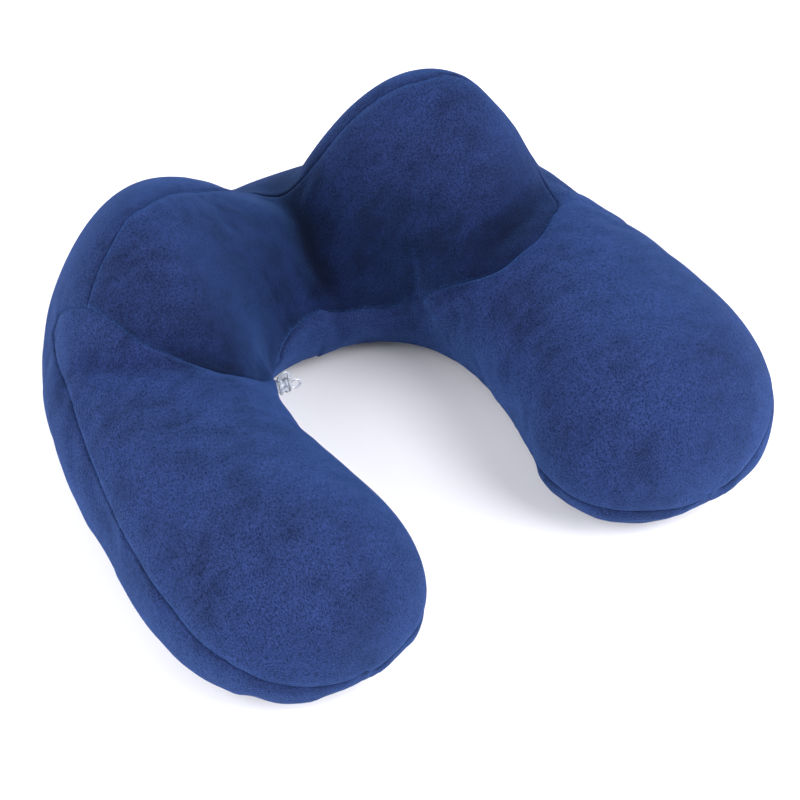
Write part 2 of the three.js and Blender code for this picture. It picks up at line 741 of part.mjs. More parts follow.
pillow.add(zip);
for (const [word, side] of [['front', -1], ['rear', 1]]) {
  addPiece(zip, `zip_tape_${word}`, zipTape(side), zipNavy(0.9));
  addPiece(zip, `zip_teeth_${word}`, zipTeeth(side), zipNavy(0.5));
  const stopEdges = [STOP_INNER * side, STOP_OUTER * side].sort((a, b) => a - b);
  addPiece(zip, `zip_top_stop_${word}`, zipStop(-STOP_X, ...stopEdges), metal());
}
addPiece(zip, 'zip_bottom_stop', zipStop(STOP_X, -STOP_OUTER, STOP_OUTER), metal());
addPiece(zip, 'zip_slider', zipSlider(), metal()).position.x = SLIDER_REST;
addPiece(zip, 'zip_pull', zipPull(), metal()).position.set(SLIDER_REST, 0, PULL_LEVEL);

export default pillow;
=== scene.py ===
"""The looks of an inflatable U-shaped neck pillow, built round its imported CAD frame.

The cover is four sewn velour panels over a welded PVC bladder. A valve comes out through the cover
at the neck, and a zip lies underneath. Drawing units are millimetres. Blender units are metres.
"""
import contextlib
import math

import bmesh
import bpy
import numpy as np
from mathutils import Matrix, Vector, kdtree


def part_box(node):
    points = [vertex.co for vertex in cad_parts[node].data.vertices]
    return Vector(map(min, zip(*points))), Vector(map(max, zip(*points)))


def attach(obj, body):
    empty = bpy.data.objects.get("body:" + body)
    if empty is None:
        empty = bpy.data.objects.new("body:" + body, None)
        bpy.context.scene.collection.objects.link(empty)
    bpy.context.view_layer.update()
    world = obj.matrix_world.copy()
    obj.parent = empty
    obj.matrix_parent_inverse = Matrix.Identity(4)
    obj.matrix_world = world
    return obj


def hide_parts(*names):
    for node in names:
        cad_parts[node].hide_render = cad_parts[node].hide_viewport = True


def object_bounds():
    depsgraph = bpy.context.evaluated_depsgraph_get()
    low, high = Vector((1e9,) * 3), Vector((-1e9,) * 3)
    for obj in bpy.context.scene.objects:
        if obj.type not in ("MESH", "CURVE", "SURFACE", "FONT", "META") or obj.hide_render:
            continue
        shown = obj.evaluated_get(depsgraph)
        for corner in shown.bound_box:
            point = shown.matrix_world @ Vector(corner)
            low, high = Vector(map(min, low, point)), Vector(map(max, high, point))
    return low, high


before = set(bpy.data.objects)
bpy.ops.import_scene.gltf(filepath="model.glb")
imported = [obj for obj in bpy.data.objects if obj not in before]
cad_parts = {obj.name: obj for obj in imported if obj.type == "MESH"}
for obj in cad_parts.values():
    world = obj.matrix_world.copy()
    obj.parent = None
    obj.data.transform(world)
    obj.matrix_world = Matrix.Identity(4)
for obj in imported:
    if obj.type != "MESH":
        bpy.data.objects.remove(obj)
cad_low, cad_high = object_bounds()
scene = bpy.context.scene
scene.view_settings.view_transform = "Standard"

# A drawing millimetre, so that the drawing is as wide as the frame.
DRAWN_WIDTH = 383.42
MM = (cad_high.x - cad_low.x) / DRAWN_WIDTH

# ---- camera ----

CAMERA_AZIMUTH = -30.87
CAMERA_ELEVATION = 44.26
CAMERA_DISTANCE = 1438
CAMERA_TARGET = (0, -12.5, 57.5)
CAMERA_LENS = 113.7
CAMERA_SHIFT = (0.0246, -0.030)


def direction(azimuth, elevation):
    """The direction from the object towards a viewer or lamp. Azimuth 0 is in front, at -Y."""
    a, e = math.radians(azimuth), math.radians(elevation)
    return Vector((math.sin(a) * math.cos(e), -math.cos(a) * math.cos(e), math.sin(e)))


def link_object(name, data):
    made = bpy.data.objects.new(name, data)
    scene.collection.objects.link(made)
    return made


def aim(thing, towards, distance):
    """Puts a camera or lamp at this distance from the target, looking at it."""
    thing.location = (Vector(CAMERA_TARGET) + towards * distance) * MM
    thing.rotation_mode = "QUATERNION"
    thing.rotation_quaternion = (-towards).to_track_quat("-Z", "Y")


def make_camera():
    data = bpy.data.cameras.new("camera")
    data.lens = CAMERA_LENS
    data.shift_x, data.shift_y = CAMERA_SHIFT
    scene.camera = link_object("camera", data)
    aim(scene.camera, direction(CAMERA_AZIMUTH, CAMERA_ELEVATION), CAMERA_DISTANCE)


# ---- shape of the pillow ----

# The blown-up pillow isn't quite even, so each half has its own numbers: the control points of its
# neck edge and rim edge in plan, and the lobe's place, turn, half length, half width and rise.
LEFT, RIGHT = -1, 1
HALVES = {
    LEFT: {
        "neck": [(0, 51), (87, 51), (71, -44.5), (28, -176)],
        "rim": [(0, 186), (202, 186), (196, -12), (191, -184)],
        "lobe": {"x": 73.3, "y": 87.6, "turn": -49, "long": 93, "wide": 82, "rise": 59.5, "power": 1.72},
        "height": 109.3,
        "tip_share": 0.22,
        "tip_power": 2.27,
        "bottom_power": 2.12,
    },
    RIGHT: {
        "neck": [(0, 51), (82, 51), (68.5, -36), (33, -170)],
        "rim": [(0, 186), (185, 186), (210, -33), (201, -170)],
        "lobe": {"x": 78.9, "y": 81.6, "turn": -40, "long": 76, "wide": 69, "rise": 69.5, "power": 2.1},
        "height": 110,
        "tip_share": 0.20,
        "tip_power": 2.11,
        "bottom_power": 2.37,
    },
}
BACK_HEIGHT = 77
ARM_SHARE = 0.45
WIDE_LEVEL_BACK = 0.48
WIDE_LEVEL_TIP = 0.38
TOP_POWER = 2.1
LOBE_LEAN = 0.16
LOBE_SPREAD = 0.49
# How softly the foot of a lobe runs out: on the arms, and in the saddle between the two lobes.
ARM_FOOT, SADDLE_FOOT = 0.08, 0.26
SADDLE_NEAR, SADDLE_FAR = 15, 75
FLOOR_SQUASH = 2
FLY_HALF_LENGTH = 93
FLY_HALF_WIDTH = 19
FLY_FADE = 12
FLY_UNDER_TAPE = 1.9


def smoothstep(value, low, high):
    t = np.clip((value - low) / (high - low), 0, 1)
    return t * t * (3 - 2 * t)


def signed_power(value, power):
    return np.sign(value) * np.abs(value) ** power


def plan_curve(points, t):
    a, b, c, d = (np.array(p, float) for p in points)
    t = t[..., None]
    return (1 - t) ** 3 * a + 3 * (1 - t) ** 2 * t * b + 3 * (1 - t) * t**2 * c + t**3 * d


def lobe_rise(x, y):
    """The height that the two lobes add over a point of the plan."""
    total = 0
    foot = SADDLE_FOOT + (ARM_FOOT - SADDLE_FOOT) * smoothstep(np.abs(x), SADDLE_NEAR, SADDLE_FAR)
    for side, half in HALVES.items():
        lobe = half["lobe"]
        turn = math.radians(lobe["turn"])
        dx, dy = side * x - lobe["x"], y - lobe["y"]
        along = (dx * math.cos(turn) + dy * math.sin(turn)) / lobe["long"]
        across = (dy * math.cos(turn) - dx * math.sin(turn)) / lobe["wide"]
        above = 1 - np.hypot(along, across) ** lobe["power"]
        rise = lobe["rise"] * (above + np.hypot(above, foot)) / 2
        total = total + rise**3
    return np.cbrt(total)


def half_skin(side, share, angle):
    """Points of the outer skin on one side, for arrays of share (0 back to 1 tip) and angle."""
    half = HALVES[side]
    neck, rim = plan_curve(half["neck"], share), plan_curve(half["rim"], share)
    across = (rim - neck) / 2
    height = BACK_HEIGHT + (half["height"] - BACK_HEIGHT) * smoothstep(share, 0, ARM_SHARE)
    wide = WIDE_LEVEL_BACK + (WIDE_LEVEL_TIP - WIDE_LEVEL_BACK) * smoothstep(share, ARM_SHARE, 1)
    level = height * wide
    outward, upward = np.cos(np.radians(angle)), np.sin(np.radians(angle))
    power = np.where(upward > 0, 2 / TOP_POWER, 2 / half["bottom_power"])
    rest = 1 - np.clip((1 - share) / half["tip_share"], 0, 1)
    tip = (1 - rest ** half["tip_power"]) ** (1 / half["tip_power"])
    z = level + np.where(upward > 0, height - level, level) * tip * signed_power(upward, power)
    spot = (neck + rim) / 2 + across * (tip * signed_power(outward, power))[..., None]
    rise = lobe_rise(side * spot[..., 0], spot[..., 1]) * np.maximum(upward, 0) ** LOBE_SPREAD
    spot = spot + across / np.linalg.norm(across, axis=-1, keepdims=True) * (LOBE_LEAN * rise)[..., None]
    z = np.maximum(z + rise - FLOOR_SQUASH, 0)
    return np.stack([side * spot[..., 0], spot[..., 1], z], -1)


def skin(share, angle):
    """Points of the outer skin. The share runs from -1 (left tip) through 0 (back) to 1 (right tip)."""
    share, angle = np.broadcast_arrays(np.asarray(share, float), np.asarray(angle, float))
    left = half_skin(LEFT, np.abs(share), angle)
    right = half_skin(RIGHT, np.abs(share), angle)
    points = np.where((share < 0)[..., None], left, right)
    return raise_fly(points, np.sin(np.radians(angle)) < 0)


def node_box(node):
    """The low and high corners of a CAD node, in drawing millimetres."""
    return [np.array(corner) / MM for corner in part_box(node)]


def fly_level():
    """The height of the flat fly that the zip is sewn to."""
    return node_box("zip_tape_front")[0][2] - FLY_UNDER_TAPE


def raise_fly(points, below):
    """Lifts the fly to the level that it has in the frame."""
    level = fly_level()
    zip_y = sum(node_box("zip_slider"))[1] / 2
    x, y, z = points[..., 0], points[..., 1], points[..., 2]
    mask = 1 - smoothstep(np.abs(x), FLY_HALF_LENGTH, FLY_HALF_LENGTH + FLY_FADE)
    mask = mask * (1 - smoothstep(np.abs(y - zip_y), FLY_HALF_WIDTH, FLY_HALF_WIDTH + FLY_FADE))
    raised = z + (np.maximum(z, level) - z) * mask * below
    return np.stack([x, y, raised], -1)


# ---- the grid over the skin ----

BODY_ROWS = 150
TIP_ROWS = 46
COLUMNS = 200
STRIDE = 2


def grid_shares():
    """Rows from tip to tip, closer together where the tips curve."""
    shares = []
    for side in (LEFT, RIGHT):
        tip = HALVES[side]["tip_share"]
        body = np.linspace(0, 1 - tip, BODY_ROWS, endpoint=False)
        ease = np.sin(np.linspace(0, math.pi / 2, TIP_ROWS + 1))
        shares.append(np.concatenate([body, 1 - tip * (1 - ease)]))
    return np.concatenate([-shares[0][::-1], shares[1][1:]])


def surface_normals(points):
    """Outward unit normals of a grid that closes on itself round its columns."""
    lengthways = np.gradient(points, axis=0)
    round_it = np.roll(points, -1, axis=1) - np.roll(points, 1, axis=1)
    normals = np.cross(round_it, lengthways)
    length = np.linalg.norm(normals, axis=-1, keepdims=True)
    normals = normals / np.maximum(length, 1e-9)
    for end, near in ((0, 1), (-1, -2)):
        mean = normals[near].mean(axis=0)
        normals[end] = mean / np.linalg.norm(mean)
    return normals


def smooth_grid(values, passes):
    """Blurs values over the grid, round its columns and along its rows."""
    for _ in range(passes):
        values = (np.roll(values, 1, axis=1) + 2 * values + np.roll(values, -1, axis=1)) / 4
        padded = np.concatenate([values[:1], values, values[-1:]])
        values = (padded[:-2] + 2 * padded[1:-1] + padded[2:]) / 4
    return values


# ---- seams ----

# Seams as [share, angle]. A share of 0 is the middle of the back, and 1 the tip. An angle of 0 is the
# outer side, 90 the top and 180 the neck side. The crest is the top edge of the lobe front.
CREST = {
    LEFT: [(0, 76), (0.05, 88), (0.11, 98), (0.19, 101), (0.28, 97), (0.335, 88), (0.385, 79),
           (0.457, 60.5)],
    RIGHT: [(0, 76), (0.04, 86), (0.09, 93.5), (0.17, 95), (0.275, 95), (0.337, 86), (0.39, 77),
            (0.457, 60.5)],
}
LOBE_FRONT = {
    LEFT: [(0, 160), (0.1, 172), (0.21, 184), (0.33, 179), (0.42, 164), (0.48, 148), (0.514, 134),
           (0.542, 116.5), (0.544, 104), (0.539, 94.5), (0.529, 85.5), (0.514, 79), (0.457, 60.5)],
    RIGHT: [(0, 160), (0.075, 169), (0.192, 178), (0.29, 174.5), (0.362, 165), (0.457, 146.5), (0.502, 137),
            (0.537, 126.5), (0.559, 113), (0.572, 99), (0.562, 85.5), (0.547, 74), (0.457, 60.5)],
}
BAND_DROP = [(0.457, 60.5), (0.42, 40), (0.425, 29)]
BAND = [(0.425, 29), (0.455, 28.5), (0.527, 35), (0.587, 33.5), (0.687, 28), (0.75, 24), (0.827, 21),
        (0.862, 19), (0.894, 15), (0.93, 12.5), (0.964, 8.5), (0.982, 4), (0.994, -6), (0.999, -30)]
BAND_INNER = [(0.999, 240), (0.994, 200), (0.984, 186), (0.957, 184), (0.922, 184), (0.87, 186),
              (0.8, 192), (0.72, 201), (0.62, 216)]
BOTTOM_TIP = [(0.93, 216), (0.97, 228), (0.985, 270), (0.97, 312), (0.93, 324)]
NECK_SEAM_ANGLE, RIM_SEAM_ANGLE = 216, 324
STRAIGHT_STEPS = 200
# What a full share and a degree of angle come to, in millimetres, where outlines are measured.
SHARE_LENGTH, DEGREE_LENGTH = 420, 1.05
# How near to a seam, in millimetres, a spot counts as on it.
SNAPPED = 0.02
NEIGHBOURS = ((0, 1), (0, -1), (1, 0), (-1, 0))
# A share past both tips, and the angles between which the skin there counts as top panel.
BEYOND_TIP = 1.02
TIP_ANGLES = -30, 240


def rounded(points, steps=8):
    """A smooth line through points, by Catmull-Rom."""
    points = np.array(points, float)
    ends = np.concatenate([[2 * points[0] - points[1]], points, [2 * points[-1] - points[-2]]])
    t = np.linspace(0, 1, steps, endpoint=False)[:, None]
    spans = []
    for a, b, c, d in zip(ends, ends[1:], ends[2:], ends[3:]):
        bend = (2 * a - 5 * b + 4 * c - d) * t**2 + (3 * b - a - 3 * c + d) * t**3
        spans.append(b + ((c - a) * t + bend) / 2)
    return np.concatenate([*spans, points[-1:]])


def half_line(name, side):
    """One seam on one side, as a smooth line of [share, angle], or the way round beyond its tip."""
    if name == "beyond":
        return np.array([(side * BEYOND_TIP, angle) for angle in TIP_ANGLES])
    points = {"crest": CREST[side], "front": LOBE_FRONT[side], "drop": BAND_DROP, "band": BAND,
              "inner": BAND_INNER, "tip": BOTTOM_TIP}[name]
    return rounded(points) * (side, 1)


def seam_lines():
    """Every seam of the cover, as lines of [share, angle]."""
    lines = [half_line(name, side) for side in HALVES
             for name in ("crest", "front", "drop", "band", "inner", "tip")]
    neck_end, rim_end = BAND_INNER[-1][0], BOTTOM_TIP[-1][0]
    spans = ((-neck_end, neck_end, NECK_SEAM_ANGLE), (-rim_end, rim_end, RIM_SEAM_ANGLE),
             (-neck_end, -rim_end, NECK_SEAM_ANGLE), (neck_end, rim_end, NECK_SEAM_ANGLE))
    return lines + [np.linspace((start, angle), (end, angle), STRAIGHT_STEPS)
                    for start, end, angle in spans]


def panel_outlines():
    """Closed outlines, as [share, angle], of each panel but the band, which is what is left."""
    def both(*names):
        left, right = (np.concatenate([half_line(name, side) for name in names]) for side in HALVES)
        return np.concatenate([left[::-1], right])

    lobe_front = np.concatenate([both("crest"), both("front")[::-1]])
    top = both("front", "drop", "band", "beyond", "inner")
    bottom = np.concatenate([half_line("tip", RIGHT), half_line("tip", LEFT)[::-1]])
    return {"lobe_front": lobe_front, "top": top, "bottom": bottom}


def signed_gap(share, angle, outline):
    """How far each spot is inside a closed outline, less than 0 outside it."""
    x, y = share * SHARE_LENGTH, angle * DEGREE_LENGTH
    corners = outline * (SHARE_LENGTH, DEGREE_LENGTH)
    nearest = np.full(x.shape, np.inf)
    inside = np.zeros(x.shape, bool)
    for (x0, y0), (x1, y1) in zip(corners, np.roll(corners, -1, axis=0)):
        dx, dy = x1 - x0, y1 - y0
        if dx == dy == 0:
            continue
        t = np.clip(((x - x0) * dx + (y - y0) * dy) / (dx * dx + dy * dy), 0, 1)
        nearest = np.minimum(nearest, np.hypot(x - x0 - t * dx, y - y0 - t * dy))
        if dy != 0:
            inside ^= ((y0 > y) != (y1 > y)) & (x < x0 + (y - y0) / dy * dx)
    gap = np.where(inside, nearest, -nearest)
    gap[nearest < SNAPPED] = 0
    return gap


def snap_to_outline(share, angle, outline):
    """Moves the grid spots beside an outline onto it, so that the panels part along grid edges."""
    gap = signed_gap(share, angle, outline)
    inner = np.zeros(gap.shape, bool)
    inner[1:-1] = True
    best = np.full(gap.shape, np.inf)
    new_share, new_angle = share.copy(), angle.copy()
    for di, dj in NEIGHBOURS:
        other = [np.roll(v, (-di, -dj), axis=(0, 1)) for v in (gap, share, angle)]
        turn = np.round((angle - other[2]) / 360) * 360
        crosses = inner & (gap * other[0] < 0) & (np.abs(gap) <= np.abs(other[0]))
        t = np.where(crosses, gap / np.where(crosses, gap - other[0], 1), np.inf)
        better = t < best
        best[better] = t[better]
        new_share[better] = share[better] + t[better] * (other[1] - share)[better]
        new_angle[better] = angle[better] + t[better] * (other[2] + turn - angle)[better]
    gap[best < np.inf] = 0
    return new_share, new_angle, gap


def cover_grid():
    """Shares and angles of the cover's grid, and the gap of each spot inside each panel."""
    shares = grid_shares()
    angles = np.arange(COLUMNS) * 360 / COLUMNS
    share, angle = (v.copy() for v in np.broadcast_arrays(shares[:, None], angles[None, :]))
    gaps = {}
    for name, outline in panel_outlines().items():
        low = -90 if name == "top" else 0
        wrapped = (angle - low) % 360 + low
        share, angle, gaps[name] = snap_to_outline(share, wrapped, outline)
    return share, angle, gaps


# ---- the blown-up cover ----

CLOTH = {
    "quality": 6, "mass": 0.3, "tension_stiffness": 15, "compression_stiffness": 15,
    "bending_stiffness": 0.5, "use_pressure": True, "uniform_pressure_force": 4,
    "shrink_max": 0.02, "vertex_group_shrink": "seams",
}
SIM_FRAMES, SIM_LIMIT = 20, 6
SEAM_REACH, LEAST_WEIGHT = 4, 0.02
# How much of the broad swelling is taken out again, and how many blurs find and smooth it.
SHAPE_KEPT, BROAD_BLUR, FINE_BLUR = 0.8, 60, 2
GROOVE_DEPTH, GROOVE_WIDTH = 0.8, 0.8
PUFF_HEIGHT, PUFF_WIDTH = 0.25, 4
PUCKER_HEIGHT, PUCKER_PITCH, PUCKER_REACH, PUCKER_START = 0.55, 6, 9, 2
SLACK_HEIGHT, SLACK_PITCH, SLACK_REACH, SLACK_START = 1.6, 13, 18, 6
PUCKER_SEED, SLACK_SEED = 1, 2
# Hollows are judged on every fourth spot, which two halvings fill in again.
HOLLOW_STRIDE, HOLLOW_HALVINGS, HOLLOW_BLUR = 4, 2, 24


def grid_faces(rows, columns, rows_close=False, columns_close=True):
    """Quads over a grid of points, which may close on itself either way."""
    i, j = np.meshgrid(np.arange(rows - (not rows_close)), np.arange(columns - (not columns_close)),
                       indexing="ij")
    k, m = (i + 1) % rows, (j + 1) % columns
    quads = np.stack([i * columns + j, i * columns + m, k * columns + m, k * columns + j], -1)
    return quads.reshape(-1, 4).tolist()


def rod_faces(rows, columns, closed=False):
    """Quads round a rod and along it, with its ends capped unless it closes on itself."""
    faces = grid_faces(rows, columns, rows_close=closed)
    if not closed:
        faces += [list(range(columns))[::-1], [(rows - 1) * columns + n for n in range(columns)]]
    return faces


def merged_poles(faces, rows, columns):
    """The faces with each end row's points made one point, and without the faces that this closes."""
    last = (rows - 1) * columns
    whole = [list(dict.fromkeys(0 if v < columns else min(v, last) for v in face)) for face in faces]
    return [face for face in whole if len(face) > 2]


def mesh_object(name, points, faces, hollows=None):
    """An object with a mesh of these points, in drawing millimetres. Loose points are left out."""
    used = sorted({v for face in faces for v in face})
    place = {v: n for n, v in enumerate(used)}
    mesh = bpy.data.meshes.new(name)
    spots = (np.asarray(points, float)[used] * MM).tolist()
    mesh.from_pydata(spots, [], [[place[v] for v in face] for face in faces])
    mesh.shade_smooth()
    if hollows is not None:
        mesh.attributes.new("hollow", "FLOAT", "POINT").data.foreach_set("value", hollows[used])
    return link_object(name, mesh)


def mesh_points(mesh):
    """The points of a mesh, in drawing millimetres."""
    spots = np.zeros(len(mesh.vertices) * 3, np.float32)
    mesh.vertices.foreach_get("co", spots)
    return spots.reshape(-1, 3) / MM


@contextlib.contextmanager
def mesh_edits(piece):
    """Opens a piece's mesh for edits, and writes it back after them."""
    bm = bmesh.new()
    bm.from_mesh(piece.data)
    yield bm
    bm.to_mesh(piece.data)
    bm.free()
    piece.data.shade_smooth()


def dense(line, step=1.0):
    """Points about every millimetre along a line of [share, angle] on the skin."""
    spots = skin(line[:, 0], line[:, 1])
    reach = np.concatenate([[0], np.cumsum(np.linalg.norm(np.diff(spots, axis=0), axis=1))])
    wanted = np.arange(0, reach[-1], step)
    return skin(np.interp(wanted, reach, line[:, 0]), np.interp(wanted, reach, line[:, 1]))


def seam_tree():
    """A tree of points along the seams, and how far along all the seams each one is."""
    spots = np.concatenate([dense(line) for line in seam_lines()])
    tree = kdtree.KDTree(len(spots))
    for n, spot in enumerate(spots):
        tree.insert(spot, n)
    tree.balance()
    steps = np.linalg.norm(np.diff(spots, axis=0, prepend=spots[:1]), axis=1)
    return tree, np.cumsum(steps)


def seam_distance(points):
    """For each point, how far it is from the nearest seam and where along the seams that is."""
    tree, reach = seam_tree()
    found = [tree.find(spot) for spot in points.reshape(-1, 3).tolist()]
    distance = np.array([f[2] for f in found]).reshape(points.shape[:-1])
    along = reach[[f[1] for f in found]].reshape(points.shape[:-1])
    return distance, along


def simulated_shift(points, distance):
    """How far air pressure moves the cloth of a coarse grid, with its seams drawn tight."""
    rows, columns = points.shape[:2]
    faces = merged_poles(grid_faces(rows, columns), rows, columns)
    cloth = mesh_object("cloth", points.reshape(-1, 3), faces)
    used = sorted({v for face in faces for v in face})
    seams = cloth.vertex_groups.new(name="seams")
    flat = distance.reshape(-1)
    for n, v in enumerate(used):
        weight = float(np.exp(-((flat[v] / SEAM_REACH) ** 2)))
        if weight > LEAST_WEIGHT:
            seams.add([n], weight, "REPLACE")
    modifier = cloth.modifiers.new("cloth", "CLOTH")
    for name, value in CLOTH.items():
        setattr(modifier.settings, name, value)
    modifier.settings.effector_weights.gravity = 0
    modifier.collision_settings.use_collision = False
    modifier.point_cache.frame_end = SIM_FRAMES
    for step in range(1, SIM_FRAMES + 1):
        scene.frame_set(step)
    shifted = points.reshape(-1, 3).copy()
    shifted[used] = mesh_points(cloth.evaluated_get(bpy.context.evaluated_depsgraph_get()).to_mesh())
    scene.frame_set(1)
    bpy.data.objects.remove(cloth)
    shifted = shifted.reshape(points.shape)
    shifted[0], shifted[-1] = shifted[0, 0], shifted[-1, 0]
    return shifted - points


def limited(shift, limit):
    length = np.linalg.norm(shift, axis=-1, keepdims=True)
    return shift * (limit * np.tanh(length / limit) / np.maximum(length, 1e-9))


def finer(values):
    """A grid of values made twice as fine in both ways, with the middles filled in."""
    rows = np.repeat(values, 2, axis=0)[:-1]
    rows[1::2] = (values[:-1] + values[1:]) / 2
    both = np.repeat(rows, 2, axis=1)
    both[:, 1::2] = (rows + np.roll(rows, -1, axis=1)) / 2
    return both


def wander(along, pitch, seed):
    """A smooth random line of about -1 to 1 with a new value on every pitch."""
    knots = np.random.default_rng(seed).uniform(-1, 1, int(along.max() / pitch) + 3)
    n = np.floor(along / pitch).astype(int)
    t = smoothstep(along / pitch - n, 0, 1)
    return knots[n] * (1 - t) + knots[n + 1] * t


def blown_cover(share, angle, gaps):
    """The points of the cover: the skin, moved as the cloth moves, with its seams and wrinkles."""
    points = skin(share, angle)
    distance, along = seam_distance(points)
    plain = skin(grid_shares()[::STRIDE, None], np.arange(0, COLUMNS, STRIDE)[None, :] * 360 / COLUMNS)
    shift = simulated_shift(plain, distance[::STRIDE, ::STRIDE])
    shift = limited(shift, SIM_LIMIT)
    shift = shift - SHAPE_KEPT * smooth_grid(shift, BROAD_BLUR)
    points = points + smooth_grid(finer(shift), FINE_BLUR)
    points = drawn_out_at_valve(points)
    normals = surface_normals(points)
    groove = -GROOVE_DEPTH * np.exp(-((distance / GROOVE_WIDTH) ** 2))
    puff = PUFF_HEIGHT * np.exp(-(((distance - PUFF_WIDTH) / PUFF_WIDTH) ** 2))
    near = np.exp(-distance / PUCKER_REACH) * distance / (distance + PUCKER_START)
    pucker = PUCKER_HEIGHT * near * wander(along, PUCKER_PITCH, PUCKER_SEED)
    in_band = (np.maximum.reduce(list(gaps.values())) <= 0) & (np.abs(share) > ARM_SHARE)
    loose = smoothstep(distance, 0, SLACK_START) * np.exp(-distance / SLACK_REACH)
    slack = SLACK_HEIGHT * in_band * loose * wander(along, SLACK_PITCH, SLACK_SEED)
    height = smooth_grid((pucker + slack)[..., None], 1)[..., 0] + groove + puff
    points = points + normals * height[..., None]
    points[..., 2] = np.maximum(points[..., 2], 0)
    points = raise_fly(points, np.sin(np.radians(angle)) < 0)
    return points, normals


def hollowness(points, normals):
    """How far each spot lies below its surroundings in millimetres, less than 0 on the high places."""
    coarse = points[::HOLLOW_STRIDE, ::HOLLOW_STRIDE]
    around = smooth_grid(coarse, HOLLOW_BLUR)
    below = ((around - coarse) * normals[::HOLLOW_STRIDE, ::HOLLOW_STRIDE]).sum(axis=-1, keepdims=True)
    for _ in range(HOLLOW_HALVINGS):
        below = finer(below)
    return below[..., 0]


def drawn_out_at_valve(points):
    """Brings the cloth round the valve out to where the stem passes through it in the frame."""
    axis = Axis()
    along, aside = axis.split(points)
    wanted = axis.reach("valve_stem")[1] - STEM_PROUD
    share = (1 - smoothstep(aside, STEM_RADIUS, VALVE_FADE)) * (np.abs(along) < VALVE_FADE)
    return points + axis.out * ((wanted - along) * share)[..., None]


def panel_faces(gaps, rows, columns):
    """The grid's faces by panel. A face that an outline crosses is split along it."""
    faces = {"lobe_front": [], "top": [], "bottom": [], "band": []}
    signs = {name: np.sign(gap).reshape(-1).astype(int).tolist() for name, gap in gaps.items()}
    for quad in grid_faces(rows, columns):
        parts = [quad]
        for sign in signs.values():
            across = [sign[v] for v in quad]
            if max(across) > 0 > min(across):
                a, b, c, d = quad
                parts = [[a, b, c], [a, c, d]] if sign[a] == 0 == sign[c] else [[a, b, d], [b, c, d]]
        for part in parts:
            name = next((n for n, sign in signs.items() if sum(sign[v] for v in part) > 0), "band")
            faces[name].append(part)
    return {name: merged_poles(members, rows, columns) for name, members in faces.items()}


SEAM_ALLOWANCE = 3
HEM = 1.3
SLOT_END_ROOM, SLOT_HALF_WIDTH, SLOT_MARGIN, SLOT_LEVEL = 1.3, 5.2, 8, 6
# The cloth round the stem's hole is made finer by two rounds of cuts, this far past its diameter.
STEM_HOLE_RADIUS, HOLE_MARGIN, HOLE_CUTS = 4.1, 4, (2, 2)


def turn_in(bm, edges, depth):
    """Turns the cloth in along these edges, as a seam allowance or hem inside the cover."""
    bm.normal_update()
    outward = {v: v.normal.copy() for e in edges for v in e.verts}
    made = bmesh.ops.extrude_edge_only(bm, edges=edges)
    for v in (g for g in made["geom"] if isinstance(g, bmesh.types.BMVert)):
        near = next(e.other_vert(v) for e in v.link_edges if e.other_vert(v) in outward)
        v.co -= outward[near] * depth * MM


def cut_slot(bm, low, high):
    """Cuts a straight-edged slot in the flat fly, between two corners in plan, and hems it."""
    def faces_over(margin):
        """The faces of the fly, which is the lowest cloth there, within a margin of the slot."""
        spots = [(f, f.calc_center_median() / MM) for f in bm.faces]
        return [f for f, spot in spots if spot[2] < FLY_UNDER_TAPE + SLOT_LEVEL
                and all(low[k] - margin < spot[k] < high[k] + margin for k in (0, 1))]

    for way in ((1, 0, 0), (0, 1, 0)):
        for corner in (low, high):
            near = faces_over(SLOT_MARGIN)
            geometry = {*near, *(e for f in near for e in f.edges), *(v for f in near for v in f.verts)}
            bmesh.ops.bisect_plane(bm, geom=list(geometry), plane_co=Vector((*corner, 0)) * MM, plane_no=way)
    inside = faces_over(0)
    bmesh.ops.delete(bm, geom=inside, context="FACES")
    turn_in(bm, [e for e in bm.edges if e.is_boundary], HEM)


def cut_round_hole(bm, axis, radius):
    """Cuts the hole for the valve's stem in one sheet, and hems it."""
    for cuts in HOLE_CUTS:
        near = axis.edges_near(bm, 2 * radius + HOLE_MARGIN)
        bmesh.ops.subdivide_edges(bm, edges=near, cuts=cuts, use_grid_fill=True)
    inside = [v for v in bm.verts if axis.is_near(v.co / MM, radius)]
    if not inside:
        return
    bmesh.ops.delete(bm, geom=inside, context="VERTS")
    rim = [e for e in axis.edges_near(bm, 2 * radius) if e.is_boundary]
    for v in {v for e in rim for v in e.verts}:
        spot = np.array(v.co) / MM
        along, aside = axis.split(spot)
        centre = axis.origin + axis.out * along
        v.co = Vector((centre + (spot - centre) * radius / aside) * MM)
    turn_in(bm, rim, HEM)


def zip_slot():
    """The corners in plan of the slot in the underside, from the zip's bottom stop."""
    low, high = node_box("zip_bottom_stop")
    half = high[0] + SLOT_END_ROOM
    middle = (low[1] + high[1]) / 2
    return (-half, middle - SLOT_HALF_WIDTH), (half, middle + SLOT_HALF_WIDTH)


# ---- materials ----

# The mix node's share and its two colours among its inputs, and its colour among its outputs.
COLOUR_MIX_SOCKETS = 0, 6, 7
COLOUR_MIX_RESULT = 2
# What a wave node's scale is multiplied by, to get its bands for each unit of length.
WAVE_BANDS = 3.183


